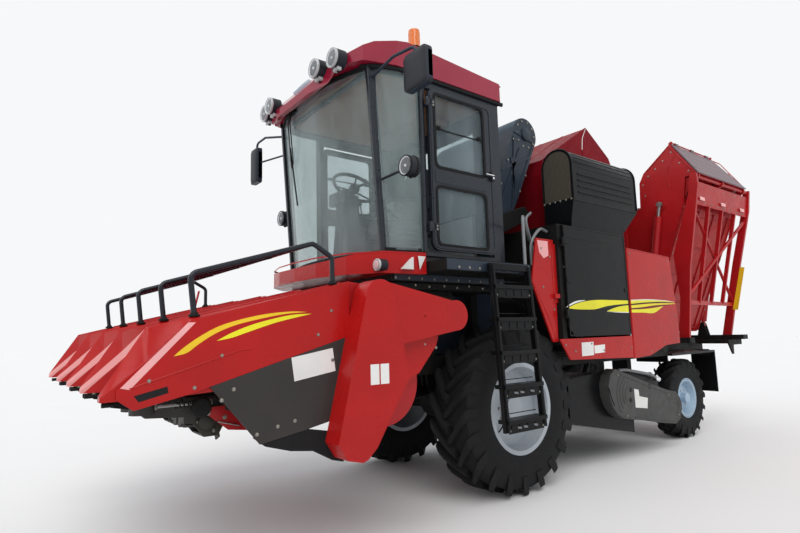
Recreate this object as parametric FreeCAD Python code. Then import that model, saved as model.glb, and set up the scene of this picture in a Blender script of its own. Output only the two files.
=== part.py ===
"""Self-propelled four-row maize harvester, one STEP file per piece, in millimetres.

The numbers below are measured from the front axle: x forward, y to the machine's left, z up from a level plane
that lies GROUND_DEPTH above the ground. Every piece is moved along x by FRAME_SHIFT and up by GROUND_DEPTH on the
way out, so the finished frame has its origin on the ground under the middle of the machine.
"""
import FreeCAD, Part
import math
import os

from FreeCAD import Vector

os.makedirs("parts", exist_ok=True)

# ---------------------------------------------------------------- driving sizes
WHEELBASE = 3280
SNOUT_TIP_X = 3190
TAIL_X = -4650
HALF_WIDTH = 1400
FRAME_SHIFT = -(SNOUT_TIP_X + TAIL_X) / 2
GROUND_DEPTH = 35

SHAFT_GAP = 0.05
MOVING_GAP = 6
SHEET = 6

# front wheels
FRONT_AXLE_Z = 670
FRONT_TYRE_R = FRONT_AXLE_Z + GROUND_DEPTH
FRONT_TYRE_W = 430
FRONT_RIM_R = 356
FRONT_RIM_W = 382
FRONT_RIM_FACE_Y = 988
FRONT_SPINDLE_R = 55

# rear wheels and steering
REAR_AXLE_Z = 440
REAR_TYRE_R = REAR_AXLE_Z + GROUND_DEPTH
REAR_TYRE_W = 260
REAR_RIM_R = 214
REAR_RIM_W = 230
REAR_RIM_FACE_Y = 837
REAR_SPINDLE_R = 30
KINGPIN_Y = 540
KINGPIN_R = 22
STEER_ARM = 140
TIE_PIN_R = 12

# chassis
RAIL_Y = 440
RAIL_W = 90
RAIL_TOP = 1120
RAIL_H = 150
RAIL_FRONT_X = 1060
BEARER_H = 60
SKIRT_Y = 903
BODY_HALF_Y = 1085
PANEL = 20

# header and its lift
ROW_PITCH = 600
ROWS = 4
LIFT_X = 950
LIFT_Z = 1300
LIFT_PIN_R = 40
HEADER_SIDE_Y = 1250
FEEDER_HALF_Y = 330
TROUGH_X = 1600
TROUGH_Z = 1010
TROUGH_R = 250

# cab
CAB_REAR_X = -40
CAB_FLOOR_Z = 1930
CAB_TOP_Z = 3430
CAB_HALF_Y = 850
DOOR_REAR_X = 105
DOOR_FRONT_X = 845
POST = 50
A_POST_Y = 752
ARM_SEAT_Y = 774
LAMP_ARM_SEAT_Y = ARM_SEAT_Y + 2
A_FOOT_X = 1235
A_HEAD_X = 1345
GLASS = 6
SCREEN_BULGE = 150

# bin
BIN_FRONT_X = -3060
BIN_REAR_X = -4500
BIN_FLOOR_Z = 1240
BIN_HINGE_Y = 1262
BIN_HINGE_Z = 3118
BIN_HINGE_R = 22
RIDGE_Y = 1000
RIDGE_Z = 3590

# shredder
SHREDDER_FRONT_X = -760
SHREDDER_REAR_X = -2440
SHREDDER_HALF_Y = 915
SHREDDER_PIVOT_X = -900
SHREDDER_PIVOT_Z = 912


# ---------------------------------------------------------------- helpers
def box(x, y, z):
    low = Vector(min(x), min(y), min(z))
    return Part.makeBox(max(x) - low.x, max(y) - low.y, max(z) - low.z, low)


def slab(points, plane, low, high):
    """Extrude a polygon drawn in plane "xz", "yz" or "xy" from low to high along the third axis."""
    place = {
        "xz": (lambda a, b: Vector(a, low, b), Vector(0, high - low, 0)),
        "yz": (lambda a, b: Vector(low, a, b), Vector(high - low, 0, 0)),
        "xy": (lambda a, b: Vector(a, b, low), Vector(0, 0, high - low)),
    }[plane]
    corners = [place[0](a, b) for a, b in points]
    return Part.Face(Part.makePolygon(corners + corners[:1])).extrude(place[1])


def rod(start, end, radius):
    start, end = Vector(*start), Vector(*end)
    return Part.makeCylinder(radius, (end - start).Length, start, end - start)


def beam(start, end, half_wide, half_high):
    """A square tube between two points, closed, its height kept as near z as the slope allows."""
    start, end = Vector(*start), Vector(*end)
    along = (end - start).normalize()
    side = Vector(0, 0, 1).cross(along)
    side = Vector(0, 1, 0) if side.Length < 1e-6 else side.normalize()
    up = along.cross(side)
    corners = [start + side * (a * half_wide) + up * (b * half_high) for a, b in ((1, 1), (-1, 1), (-1, -1), (1, -1))]
    return Part.Face(Part.makePolygon(corners + corners[:1])).extrude(end - start)


def bent_tube(points, radius, bend):
    """A round tube along straight runs joined by tangent arcs."""
    points = [Vector(*p) for p in points]
    edges = []
    at = points[0]
    for before, corner, after in zip(points, points[1:], points[2:]):
        into = (corner - before).normalize()
        out = (after - corner).normalize()
        half = into.getAngle(out) / 2
        trim = bend * math.tan(half)
        first, last = corner - into * trim, corner + out * trim
        centre = corner + (out - into).normalize() * (bend / math.cos(half))
        middle = centre + (corner - centre).normalize() * bend
        edges.append(Part.LineSegment(at, first).toShape())
        edges.append(Part.Arc(first, middle, last).toShape())
        at = last
    edges.append(Part.LineSegment(at, points[-1]).toShape())
    circle = Part.Wire(Part.makeCircle(radius, points[0], points[1] - points[0]))
    return Part.Wire(edges).makePipeShell([circle], True, False)


def fuse(pieces):
    pieces = list(pieces)
    return pieces[0].multiFuse(pieces[1:]).removeSplitter() if len(pieces) > 1 else pieces[0]


def mirrored(shape):
    return shape.mirror(Vector(0, 0, 0), Vector(0, 1, 0))


def both_sides(shape):
    return Part.Compound([shape, mirrored(shape)])


def turned(profile, centre):
    """Revolve a closed (radius, y) profile about the y axis through centre."""
    x, z = centre
    corners = [Vector(x, y, z + r) for r, y in profile]
    face = Part.Face(Part.makePolygon(corners + corners[:1]))
    return face.revolve(Vector(x, 0, z), Vector(0, 1, 0), 360)


def along_y(x, z, radius, low, high):
    return Part.makeCylinder(radius, high - low, Vector(x, low, z), Vector(0, 1, 0))


def along_x(y, z, radius, low, high):
    return Part.makeCylinder(radius, high - low, Vector(low, y, z), Vector(1, 0, 0))


def along_z(x, y, radius, low, high):
    return Part.makeCylinder(radius, high - low, Vector(x, y, low), Vector(0, 0, 1))


# ---------------------------------------------------------------- wheels
def tyre(x, axle_z, radius, width, rim_radius, centre_y):
    half = width / 2
    shoulder = radius - 45
    profile = [
        (rim_radius, centre_y - half * 0.86),
        (rim_radius + 40, centre_y - half * 0.97),
        ((radius + rim_radius) / 2, centre_y - half),
        (shoulder, centre_y - half * 0.93),
        (radius, centre_y - half * 0.72),
        (radius, centre_y + half * 0.72),
        (shoulder, centre_y + half * 0.93),
        ((radius + rim_radius) / 2, centre_y + half),
        (rim_radius + 40, centre_y + half * 0.97),
        (rim_radius, centre_y + half * 0.86),
    ]
    return turned(profile, (x, axle_z))


def rim(x, axle_z, rim_radius, width, face_y, dish, hub_radius, bore_radius):
    """Drop-centre rim with flanges, a dished disc and a hub that turns on the spindle."""
    inner_y = face_y - width
    flange = rim_radius + 24
    wall = 12
    disc_y = face_y - dish
    edge_y = inner_y + width * 0.6
    channel = turned(
        [
            (rim_radius, inner_y + 16),
            (flange, inner_y + 10),
            (flange, inner_y),
            (rim_radius - wall, inner_y + 4),
            (rim_radius - 40, inner_y + width * 0.35),
            (rim_radius - 40, inner_y + width * 0.65),
            (rim_radius - wall, face_y - 4),
            (flange, face_y),
            (flange, face_y - 10),
            (rim_radius, face_y - 16),
            (rim_radius - 0.3, face_y - 30),
            (rim_radius - 28, inner_y + width * 0.62),
            (rim_radius - 28, inner_y + width * 0.38),
            (rim_radius - 0.3, inner_y + 30),
        ],
        (x, axle_z),
    )
    disc = turned(
        [
            (bore_radius, disc_y),
            (hub_radius * 1.5, disc_y),
            (rim_radius - 36, edge_y),
            (rim_radius - 36, edge_y + 12),
            (hub_radius * 1.45, disc_y + 14),
            (bore_radius, disc_y + 14),
        ],
        (x, axle_z),
    )
    hub = turned(
        [(bore_radius, disc_y - 70), (hub_radius, disc_y - 70), (hub_radius, disc_y + 60), (bore_radius, disc_y + 60)],
        (x, axle_z),
    )
    cap = along_y(x, axle_z, hub_radius, disc_y + 60, disc_y + 72)
    return fuse([channel, disc, hub, cap])


FRONT_DISH = 150
REAR_DISH = 70
FRONT_HUB_R = 95
REAR_HUB_R = 62


def front_wheel():
    centre_y = FRONT_RIM_FACE_Y - FRONT_RIM_W / 2
    wheel_rim = rim(
        0, FRONT_AXLE_Z, FRONT_RIM_R, FRONT_RIM_W, FRONT_RIM_FACE_Y, FRONT_DISH, FRONT_HUB_R,
        FRONT_SPINDLE_R + SHAFT_GAP,
    )
    return tyre(0, FRONT_AXLE_Z, FRONT_TYRE_R, FRONT_TYRE_W, FRONT_RIM_R, centre_y).cut(wheel_rim), wheel_rim


def rear_wheel():
    centre_y = REAR_RIM_FACE_Y - REAR_RIM_W / 2
    wheel_rim = rim(
        -WHEELBASE, REAR_AXLE_Z, REAR_RIM_R, REAR_RIM_W, REAR_RIM_FACE_Y, REAR_DISH, REAR_HUB_R,
        REAR_SPINDLE_R + SHAFT_GAP,
    )
    return tyre(-WHEELBASE, REAR_AXLE_Z, REAR_TYRE_R, REAR_TYRE_W, REAR_RIM_R, centre_y).cut(wheel_rim), wheel_rim


# ---------------------------------------------------------------- axles and steering
AXLE_BEAM_H = 110
EYE_R = 46
EAR = 35


def front_axle():
    spindle_end = FRONT_RIM_FACE_Y - FRONT_DISH + 60 - MOVING_GAP
    seat_y = FRONT_RIM_FACE_Y - FRONT_DISH - 70 - MOVING_GAP
    pieces = [
        box((-90, 90), (-seat_y + 90, seat_y - 90), (FRONT_AXLE_Z - 85, FRONT_AXLE_Z + 85)),
        along_y(0, FRONT_AXLE_Z, 175, -150, 150),
        along_y(0, FRONT_AXLE_Z, FRONT_SPINDLE_R, -spindle_end, spindle_end),
    ]
    for side in (-1, 1):
        low, high = sorted((side * (seat_y - 120), side * seat_y))
        pieces.append(along_y(0, FRONT_AXLE_Z, 140, low, high))
    return fuse(pieces)


def rear_axle():
    x, z = -WHEELBASE, REAR_AXLE_Z
    half_h = AXLE_BEAM_H / 2
    pieces = [box((x - 60, x + 60), (-KINGPIN_Y + 20, KINGPIN_Y - 20), (z - half_h, z + half_h))]
    for side in (-1, 1):
        pieces.append(along_z(x, side * KINGPIN_Y, EYE_R, z - half_h, z + half_h))
    pivot = box((x - 50, x + 50), (-110, 110), (z + half_h, RAIL_TOP - RAIL_H))
    body = fuse(pieces + [pivot])
    for side in (-1, 1):
        body = body.cut(along_z(x, side * KINGPIN_Y, KINGPIN_R + SHAFT_GAP, z - half_h - 1, z + half_h + 1))
        clear = EYE_R + 14
        web_way = along_z(x, side * KINGPIN_Y, clear + 60, z - half_h - 1, z + half_h + 1)
        outer = box((x - 70, x + 70), (side * KINGPIN_Y, side * (KINGPIN_Y + 80)), (z - 200, z + 200))
        body = body.cut(web_way.cut(along_z(x, side * KINGPIN_Y, EYE_R, z - 200, z + 200)).common(outer))
    return body


def knuckle():
    """Left steering knuckle: two ears on the kingpin, a web, the wheel spindle and the steering arm."""
    x, y, z = -WHEELBASE, KINGPIN_Y, REAR_AXLE_Z
    ear_low = AXLE_BEAM_H / 2 + 5
    web_y = y + EYE_R + 9
    spindle_end = REAR_RIM_FACE_Y - REAR_DISH + 60 - MOVING_GAP
    pieces = [
        box((x - 40, x + 40), (web_y, web_y + 25), (z - ear_low - EAR, z + ear_low + EAR)),
        along_z(x, y, KINGPIN_R, z - ear_low - EAR, z + ear_low + EAR),
        along_y(x, z, REAR_SPINDLE_R, web_y, spindle_end),
    ]
    for low in (z - ear_low - EAR, z + ear_low):
        pieces.append(along_z(x, y, 40, low, low + EAR))
        pieces.append(box((x - 40, x + 40), (y, web_y + 25), (low, low + EAR)))
    arm_z = z - ear_low - EAR
    pieces.append(box((x - STEER_ARM, x), (y - 20, y + 20), (arm_z, arm_z + 25)))
    pieces.append(along_z(x - STEER_ARM, y, 24, arm_z, arm_z + 25))
    pieces.append(along_z(x - STEER_ARM, y, TIE_PIN_R, arm_z + 25, arm_z + 68))
    return fuse(pieces)


def tie_rod():
    x = -WHEELBASE - STEER_ARM
    low = REAR_AXLE_Z - AXLE_BEAM_H / 2 - 5 - EAR + 25 + 1
    body = fuse(
        [along_z(x, side * KINGPIN_Y, 24, low, low + 36) for side in (-1, 1)]
        + [along_y(x, low + 18, 15, -KINGPIN_Y, KINGPIN_Y)]
    )
    for side in (-1, 1):
        body = body.cut(along_z(x, side * KINGPIN_Y, TIE_PIN_R + SHAFT_GAP, low - 1, low + 40))
    return body


# ---------------------------------------------------------------- chassis
LIFT_BASE = (400, 800)
LIFT_EYE = (1250, 735)
LIFT_CYL_Y = 250
BIN_BASE = (560, 1330)
BIN_EYE = (840, 2840)
BIN_CYL_X = (BIN_FRONT_X + 60, BIN_REAR_X - 55)
SHRED_BASE = (-2560, 1030)
SHRED_EYE = (-2330, 640)
CYL_PIN_R = 16
CYL_EYE_R = 34
CYL_EYE_W = 44
EAR_T = 14
EAR_GAP = 6


def ear_plate(x, z, low, high, foot, reach=45):
    """A plate in the xz plane with a rounded end at (x, z), running to a foot given by its two corners."""
    return fuse([slab([(x - reach, z), (x + reach, z)] + foot, "xz", low, high), along_y(x, z, reach, low, high)])


def clevis(at, place, axis, foot, open_pin=False):
    """Two ears on a foot given by its two corners, across axis "x" or "y". An open clevis has no pin between its ears."""
    a, z = at
    inner = CYL_EYE_W / 2 + EAR_GAP
    along = along_y if axis == "y" else along_x
    plane = "xz" if axis == "y" else "yz"
    low, high = place - inner - EAR_T, place + inner + EAR_T

    def turned_piece(radius, start, end):
        return along(a, z, radius, start, end)

    pieces = [] if open_pin else [turned_piece(CYL_PIN_R, low, high)]
    for start, end in ((low, low + EAR_T), (high - EAR_T, high)):
        pieces.append(slab([(a - CYL_EYE_R, z), (a + CYL_EYE_R, z)] + foot, plane, start, end))
        pieces.append(turned_piece(CYL_EYE_R, start, end))
    pieces.append(turned_piece(CYL_PIN_R + 6, low - 8, low))
    pieces.append(turned_piece(CYL_PIN_R + 6, high, high + 8))
    return Part.Compound(pieces) if open_pin else fuse(pieces)


def cylinder_halves(base, eye, axis, bore, gland, rod_length, offset):
    """Barrel and rod of a hydraulic cylinder between two pins, in the plane across axis ("x" or "y")."""
    if axis == "y":
        start, end = Vector(base[0], offset, base[1]), Vector(eye[0], offset, eye[1])
        cross = Vector(0, 1, 0)
    else:
        start, end = Vector(offset, base[0], base[1]), Vector(offset, eye[0], eye[1])
        cross = Vector(1, 0, 0)
    along = (end - start).normalize()
    outer = bore + 9

    def eye_ring(centre):
        first = centre - cross * (CYL_EYE_W / 2)
        return Part.makeCylinder(CYL_EYE_R, CYL_EYE_W, first, cross), Part.makeCylinder(
            CYL_PIN_R + SHAFT_GAP, CYL_EYE_W, first, cross
        )

    ring, hole = eye_ring(start)
    tube = Part.makeCylinder(outer, gland - 50, start + along * 50, along)
    hollow = Part.makeCylinder(bore + SHAFT_GAP, gland - 60, start + along * 60, along)
    neck = Part.makeCylinder(bore * 0.7, 60 - CYL_EYE_R + 4, start + along * (CYL_EYE_R - 4), along)
    barrel = fuse([ring, neck, tube]).cut(hole).cut(hollow)
    seal = Part.makeCylinder(outer, 30, start + along * (gland - 30), along)
    seal = seal.cut(Part.makeCylinder(bore * 0.55 + SHAFT_GAP, 40, start + along * (gland - 35), along))
    barrel = barrel.fuse(seal)
    ring, hole = eye_ring(end)
    shaft = Part.makeCylinder(bore * 0.55, rod_length - 20, end - along * rod_length, along)
    piston = Part.makeCylinder(bore, 30, end - along * rod_length, along)
    return barrel, fuse([ring, shaft, piston])


def lift_cylinder(y):
    return cylinder_halves(LIFT_BASE, LIFT_EYE, "y", 36, 480, 470, y)


def bin_cylinder(x):
    return cylinder_halves(BIN_BASE, BIN_EYE, "x", 33, 1380, 1300, x)


def shredder_cylinder():
    return cylinder_halves(SHRED_BASE, SHRED_EYE, "y", 28, 330, 375, 0)


SHRED_ARM_W = 40
TOW_HOLE_R = 17
TOW_HOLE_IN = 35
DRAWBAR_T = 20


def chassis_frame():
    low = RAIL_TOP - RAIL_H
    half = RAIL_W / 2
    pieces = []
    for side in (-1, 1):
        y = sorted((side * (RAIL_Y - half), side * (RAIL_Y + half)))
        pieces.append(box((TAIL_X, RAIL_FRONT_X), y, (low, RAIL_TOP)))
        pieces.append(box((-110, 110), y, (FRONT_AXLE_Z + 85, low)))
        pieces.append(slab([(LIFT_X - 110, RAIL_TOP), (LIFT_X + 100, RAIL_TOP), (LIFT_X + 60, LIFT_Z),
                            (LIFT_X - 60, LIFT_Z)], "xz", y[0], y[1]))
        pieces.append(along_y(LIFT_X, LIFT_Z, 80, y[0], y[1]))
        pivot_y = side * RAIL_Y
        gap = SHRED_ARM_W / 2 + MOVING_GAP
        pin = along_y(SHREDDER_PIVOT_X, SHREDDER_PIVOT_Z, 20, pivot_y - half, pivot_y + half)
        pieces.append(pin)
        for span in ((pivot_y - half, pivot_y - gap), (pivot_y + gap, pivot_y + half)):
            pieces.append(ear_plate(SHREDDER_PIVOT_X, SHREDDER_PIVOT_Z, span[0], span[1],
                                    [(SHREDDER_PIVOT_X + 70, low + 5), (SHREDDER_PIVOT_X - 70, low + 5)]))
    tail = TAIL_X + 60
    pieces.append(box((tail, tail + 60), (-RAIL_Y, RAIL_Y), (low, RAIL_TOP)))
    drawbar = box((TAIL_X, tail + 60), (-60, 60), (low - DRAWBAR_T, low))
    pieces.append(drawbar.cut(along_z(TAIL_X + TOW_HOLE_IN, 0, TOW_HOLE_R, low - 30, low + 10)))
    for x in (-WHEELBASE, -2660, 400):
        pieces.append(box((x - 60, x + 60), (-RAIL_Y, RAIL_Y), (low, RAIL_TOP)))
    for x in (-640, -1500, -2400):
        pieces.append(box((x - 35, x + 35), (-BODY_HALF_Y, BODY_HALF_Y), (RAIL_TOP, RAIL_TOP + BEARER_H)))
    pieces.append(box((BIN_FRONT_X - 5, BIN_FRONT_X + 115), (-BODY_HALF_Y, BODY_HALF_Y), (RAIL_TOP, RAIL_TOP + BEARER_H)))
    pieces.append(box((TAIL_X, BIN_REAR_X), (-BODY_HALF_Y, BODY_HALF_Y), (RAIL_TOP, RAIL_TOP + BEARER_H)))
    for y in (-SKIRT_Y, SKIRT_Y):
        pieces.append(box((-2755, -720), (y - SHEET / 2, y + SHEET / 2), (low + 10, RAIL_TOP + 5)))
    for y in (-LIFT_CYL_Y, LIFT_CYL_Y):
        pieces.append(clevis(LIFT_BASE, y, "y", [(LIFT_BASE[0] + 60, low + 5), (LIFT_BASE[0] - 60, low + 5)]))
    top = RAIL_TOP + BEARER_H
    for x in BIN_CYL_X:
        pieces.append(clevis(BIN_BASE, x, "x", [(BIN_BASE[0] + 70, top - 5), (BIN_BASE[0] - 70, top - 5)]))
    pieces.append(clevis(SHRED_BASE, 0, "y", [(-2560, RAIL_TOP - 10), (-2610, RAIL_TOP - 10), (-2610, low + 10)]))
    for side in (-1, 1):
        y = sorted((side * RAIL_Y, side * 1010))
        pieces.append(slab([(TAIL_X + 20, 1050), (TAIL_X + 20, RAIL_TOP), (TAIL_X + 440, RAIL_TOP), (TAIL_X + 440, 1080),
                            (TAIL_X + 330, 930), (TAIL_X + 300, 930), (TAIL_X + 290, 1050)], "xz",
                           min(side * 990, side * 1010), max(side * 990, side * 1010)))
        pieces.append(box((TAIL_X + 60, TAIL_X + 120), y, (RAIL_TOP - 60, RAIL_TOP)))
        pieces.append(box((TAIL_X + 380, TAIL_X + 430), y, (RAIL_TOP - 30, RAIL_TOP)))
    frame = fuse(pieces)
    return frame.cut(along_y(LIFT_X, LIFT_Z, LIFT_PIN_R + SHAFT_GAP, -1000, 1000))


def rear_mudguards():
    flap = box((-3905, -3893), (650, 950), (470, 1000))
    shelf = box((-3893, -2760), (RAIL_Y + RAIL_W / 2, 950), (975, 1000))
    lip = box((-2772, -2760), (RAIL_Y + RAIL_W / 2 + 20, 890), (900, 980))
    return both_sides(fuse([flap, shelf, lip]))


# ---------------------------------------------------------------- engine bay, panels, elevator and husker
BAY_FRONT_X = -500
BAY_REAR_X = -1640
BAY_TOP_Z = 2290
BAY_FOOT_Z = RAIL_TOP + BEARER_H
PANEL_REAR_X = -2650
SERVICE_HINGE_X = -530
SERVICE_HINGE_Y = BODY_HALF_Y + 34
SERVICE_PIN_R = 7


def engine():
    return box((-1500, -760), (-420, 620), (BAY_FOOT_Z, 2060)).fuse(
        box((-1400, -860), (-RAIL_Y - 40, RAIL_Y + 40), (RAIL_TOP, BAY_FOOT_Z))
    )


def engine_bay():
    """Black box over the engine: front and rear walls, top deck and corner posts, open where the doors close."""
    outer = box((BAY_REAR_X, BAY_FRONT_X), (-BODY_HALF_Y, BODY_HALF_Y), (BAY_FOOT_Z, BAY_TOP_Z))
    inner = box(
        (BAY_REAR_X + SHEET, BAY_FRONT_X - SHEET), (-BODY_HALF_Y - 10, BODY_HALF_Y + 10), (BAY_FOOT_Z - 10, BAY_TOP_Z - SHEET)
    )
    shell = outer.cut(inner)
    posts = []
    for side in (-1, 1):
        y = (side * (BODY_HALF_Y - 50), side * BODY_HALF_Y)
        posts.append(box((BAY_FRONT_X - 60, BAY_FRONT_X - SHEET), y, (BAY_FOOT_Z, BAY_TOP_Z - SHEET)))
        posts.append(box((BAY_REAR_X + SHEET, BAY_REAR_X + 60), y, (BAY_FOOT_Z, BAY_TOP_Z - SHEET)))
        posts.append(box((BAY_REAR_X, BAY_FRONT_X), y, (BAY_FOOT_Z, BAY_FOOT_Z + 40)))
        for z in (1420, 2080):
            bracket = box(
                (SERVICE_HINGE_X - 12, SERVICE_HINGE_X + 12), (side * (BODY_HALF_Y - 5), side * SERVICE_HINGE_Y), (z, z + 20)
            )
            posts.append(bracket)
            posts.append(along_z(SERVICE_HINGE_X, side * SERVICE_HINGE_Y, SERVICE_PIN_R, z, z + 80))
            posts.append(along_z(SERVICE_HINGE_X, side * SERVICE_HINGE_Y, 12, z, z + 20))
    return fuse([shell] + posts)


def service_door():
    """Left service door: a sheet with a returned edge and two sleeves on the hinge pins at its front edge."""
    z = (BAY_FOOT_Z + 70, BAY_TOP_Z - 10)
    y = (BODY_HALF_Y + MOVING_GAP, BODY_HALF_Y + MOVING_GAP + PANEL)
    front = SERVICE_HINGE_X - 26
    rear = BAY_REAR_X + 30
    corner = 90
    leaf = slab(
        [(front, z[0] + corner), (front, z[1]), (rear, z[1]), (rear, z[0]), (front - corner, z[0])], "xz", y[0], y[1]
    )
    pieces = [leaf]
    for low in (1420, 2080):
        sleeve = along_z(SERVICE_HINGE_X, SERVICE_HINGE_Y, 13, low + 21, low + 78)
        strap = box((front - 60, SERVICE_HINGE_X), (y[1] - 4, y[1] + 4), (low + 24, low + 75))
        pieces += [sleeve, strap]
    door = fuse(pieces)
    for low in (1420, 2080):
        door = door.cut(along_z(SERVICE_HINGE_X, SERVICE_HINGE_Y, SERVICE_PIN_R + SHAFT_GAP, low + 10, low + 90))
    return door


HOOD_FRONT_X = -730
HOOD_REAR_X = -1880
HOOD_OUT_Y = 1130
HOOD_IN_Y = 790
HOOD_CREASE_Z = 2540
HOOD_TOP_Z = 3070


def engine_hood():
    """Round-topped black pod over the left of the engine bay, bevelled below and at its lower rear."""
    radius = (HOOD_OUT_Y - HOOD_IN_Y) / 2
    middle = (HOOD_OUT_Y + HOOD_IN_Y) / 2
    arch_z = HOOD_TOP_Z - radius
    barrel = along_x(middle, arch_z, radius, HOOD_REAR_X, HOOD_FRONT_X)
    body = slab(
        [(HOOD_IN_Y, BAY_TOP_Z), (BODY_HALF_Y, BAY_TOP_Z), (HOOD_OUT_Y, HOOD_CREASE_Z), (HOOD_OUT_Y, arch_z),
         (HOOD_IN_Y, arch_z)], "yz", HOOD_REAR_X, HOOD_FRONT_X)
    hood = fuse([barrel, body])
    wedge = slab(
        [(HOOD_REAR_X - 10, BAY_TOP_Z - 10), (BAY_REAR_X, BAY_TOP_Z - 10), (BAY_REAR_X, BAY_TOP_Z),
         (HOOD_REAR_X - 10, HOOD_CREASE_Z + 10)], "xz", 0, 2000)
    nose = slab(
        [(HOOD_FRONT_X + 10, BAY_TOP_Z - 10), (HOOD_FRONT_X - 10, BAY_TOP_Z - 10), (HOOD_FRONT_X + 10, BAY_TOP_Z + 120)],
        "xz", 0, 2000)
    return hood.cut(wedge).cut(nose)


def side_panels():
    """Red panels each side: the rear body side and the low flap under the service door."""
    y = (BODY_HALF_Y, BODY_HALF_Y + PANEL)
    rear = slab(
        [(BAY_REAR_X - 4, 1005), (BAY_REAR_X - 4, 2150), (-2560, 2110), (PANEL_REAR_X, 1400), (PANEL_REAR_X, 1130),
         (-2330, 1115), (-1980, 1020)], "xz", y[0], y[1])
    flap = slab([(-420, BAY_FOOT_Z + 55), (BAY_REAR_X + 4, BAY_FOOT_Z + 55), (BAY_REAR_X + 4, 1015), (-560, 1045)],
                "xz", y[0], y[1])
    return Part.Compound([rear, flap, mirrored(rear), mirrored(flap)])


ELEVATOR_HALF_Y = 320
ELEVATOR_HEAD = (-740, 3350)
HEAD_HALF_Y = 600


def elevator():
    """Ear elevator: a low trunk behind the feeder, a riser behind the cab and a round head."""
    low = RAIL_TOP + 10
    trunk = slab(
        [(770, low), (770, 1500), (100, 1660), (-75, 1660), (-75, 2370), (-400, 3000), (-780, 3060), (-540, 2600),
         (-410, 2300), (-410, 1330), (-300, low)], "xz", -ELEVATOR_HALF_Y, ELEVATOR_HALF_Y)
    upper = slab([(-120, 2420), (-560, 3400), (-900, 3300), (-780, 3060), (-540, 2600), (-420, 2420)], "xz",
                 -HEAD_HALF_Y, HEAD_HALF_Y)
    head = along_y(ELEVATOR_HEAD[0], ELEVATOR_HEAD[1], 175, -HEAD_HALF_Y, HEAD_HALF_Y)
    feet = [box((640, 740), (side * 200, side * (RAIL_Y + 20)), (RAIL_TOP, low + 20)) for side in (-1, 1)]
    feet += [box((-290, -200), (side * 200, side * (RAIL_Y + 20)), (RAIL_TOP, low + 20)) for side in (-1, 1)]
    return fuse([trunk, upper, head] + feet)


HUSKER_HALF_Y = 640


def husker_housing():
    """Husker body over the rear of the engine bay, its hood rising to a peak, and its outlet ahead of the bin."""
    hood = slab(
        [(-930, BAY_TOP_Z), (-930, 2950), (-960, 3110), (-1800, 3640), (-2240, 3350), (-2480, 2900), (-2480, 2150),
         (BAY_REAR_X - SHEET, 2150), (BAY_REAR_X - SHEET, BAY_TOP_Z)], "xz", -HUSKER_HALF_Y, HUSKER_HALF_Y)
    chute = slab([(-2480, 2860), (-2480, 3180), (-2930, 3080), (-2930, 2900)], "xz", -520, 520)
    legs = [
        box((-2450, -2350), (side * (RAIL_Y - 40), side * (RAIL_Y + 40)), (RAIL_TOP + BEARER_H, 2150)) for side in (-1, 1)
    ]
    return fuse([hood, chute] + legs)


def fender_shields():
    """Red pointed shield behind the ladder, one each side, on the engine bay's front posts."""
    shield = slab([(-150, 1740), (-240, 2140), (-480, 2140), (-480, 1560), (-470, 1210), (-400, 1210)], "xz", 1030, 1050)
    strut = box((BAY_FRONT_X, -430), (1050, BODY_HALF_Y - 5), (1600, 1640))
    back = box((BAY_FRONT_X, -440), (1030, 1055), (1560, 2100))
    return both_sides(fuse([shield, strut, back]))


# ---------------------------------------------------------------- cab
PLATFORM_TOP_Z = 1870
PLATFORM_LOW_Z = 1720
LADDER_X = (80, 530)
ROOF_REAR_X = -110
ROOF_FRONT_X = 1640
DOOR_HINGE_X = 868
DOOR_HINGE_Y = 896
DOOR_PIN_R = 8
DOOR_THICK = 36
DOOR_LOW_Z = 1975
DOOR_HIGH_Z = 3330
SIDE_FOOT_Z = CAB_FLOOR_Z + 30


def screen_sheet(foot, head, low, high, bulge, thickness):
    """A curved pane between two slanting edges given in plan, bulging outward, as a ruled loft."""
    rings = []
    for (start, end), z in ((foot, low), (head, high)):
        start, end = Vector(*start, z), Vector(*end, z)
        chord = (end - start).normalize()
        out = Vector(chord.y, -chord.x, 0)
        middle = (start + end) / 2 + out * bulge
        inner_start, inner_end = start - out * thickness, end - out * thickness
        outer = Part.Arc(start, middle, end).toShape()
        inner = Part.Arc(inner_end, middle - out * thickness, inner_start).toShape()
        rings.append(Part.Wire([
            outer, Part.LineSegment(end, inner_end).toShape(), inner, Part.LineSegment(inner_start, start).toShape()
        ]))
    return Part.makeLoft(rings, True, True)


def windscreen():
    foot = ((A_FOOT_X, -A_POST_Y + 4), (A_FOOT_X, A_POST_Y - 4))
    head = ((A_HEAD_X, -A_POST_Y + 4), (A_HEAD_X, A_POST_Y - 4))
    return screen_sheet((foot[0], foot[1]), (head[0], head[1]), CAB_FLOOR_Z + 6, CAB_TOP_Z - 1, SCREEN_BULGE, GLASS)


def corner_pane():
    foot = ((A_FOOT_X - 4, A_POST_Y + 6), (DOOR_FRONT_X + 70, CAB_HALF_Y - 8))
    head = ((A_HEAD_X - 4, A_POST_Y + 6), (DOOR_FRONT_X + 70, CAB_HALF_Y - 8))
    return screen_sheet(foot, head, SIDE_FOOT_Z + 4, CAB_TOP_Z - 4, 26, GLASS)


def cab_trimmed(shape, seat_y=ARM_SEAT_Y):
    """End an arm on the outer face of the cab's corner glass."""
    way = box((A_FOOT_X - 60, A_HEAD_X + 60), (-seat_y, seat_y), (CAB_FLOOR_Z, CAB_TOP_Z))
    return shape.cut(way)


def a_post_x(z):
    """Middle of the slanting windscreen post at height z."""
    return A_FOOT_X - POST / 2 + (A_HEAD_X - A_FOOT_X) * (z - CAB_FLOOR_Z) / (CAB_TOP_Z - CAB_FLOOR_Z)


def rear_pane():
    return box((CAB_REAR_X + 12, CAB_REAR_X + 18), (-560, 560), (2420, 3240))


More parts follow.
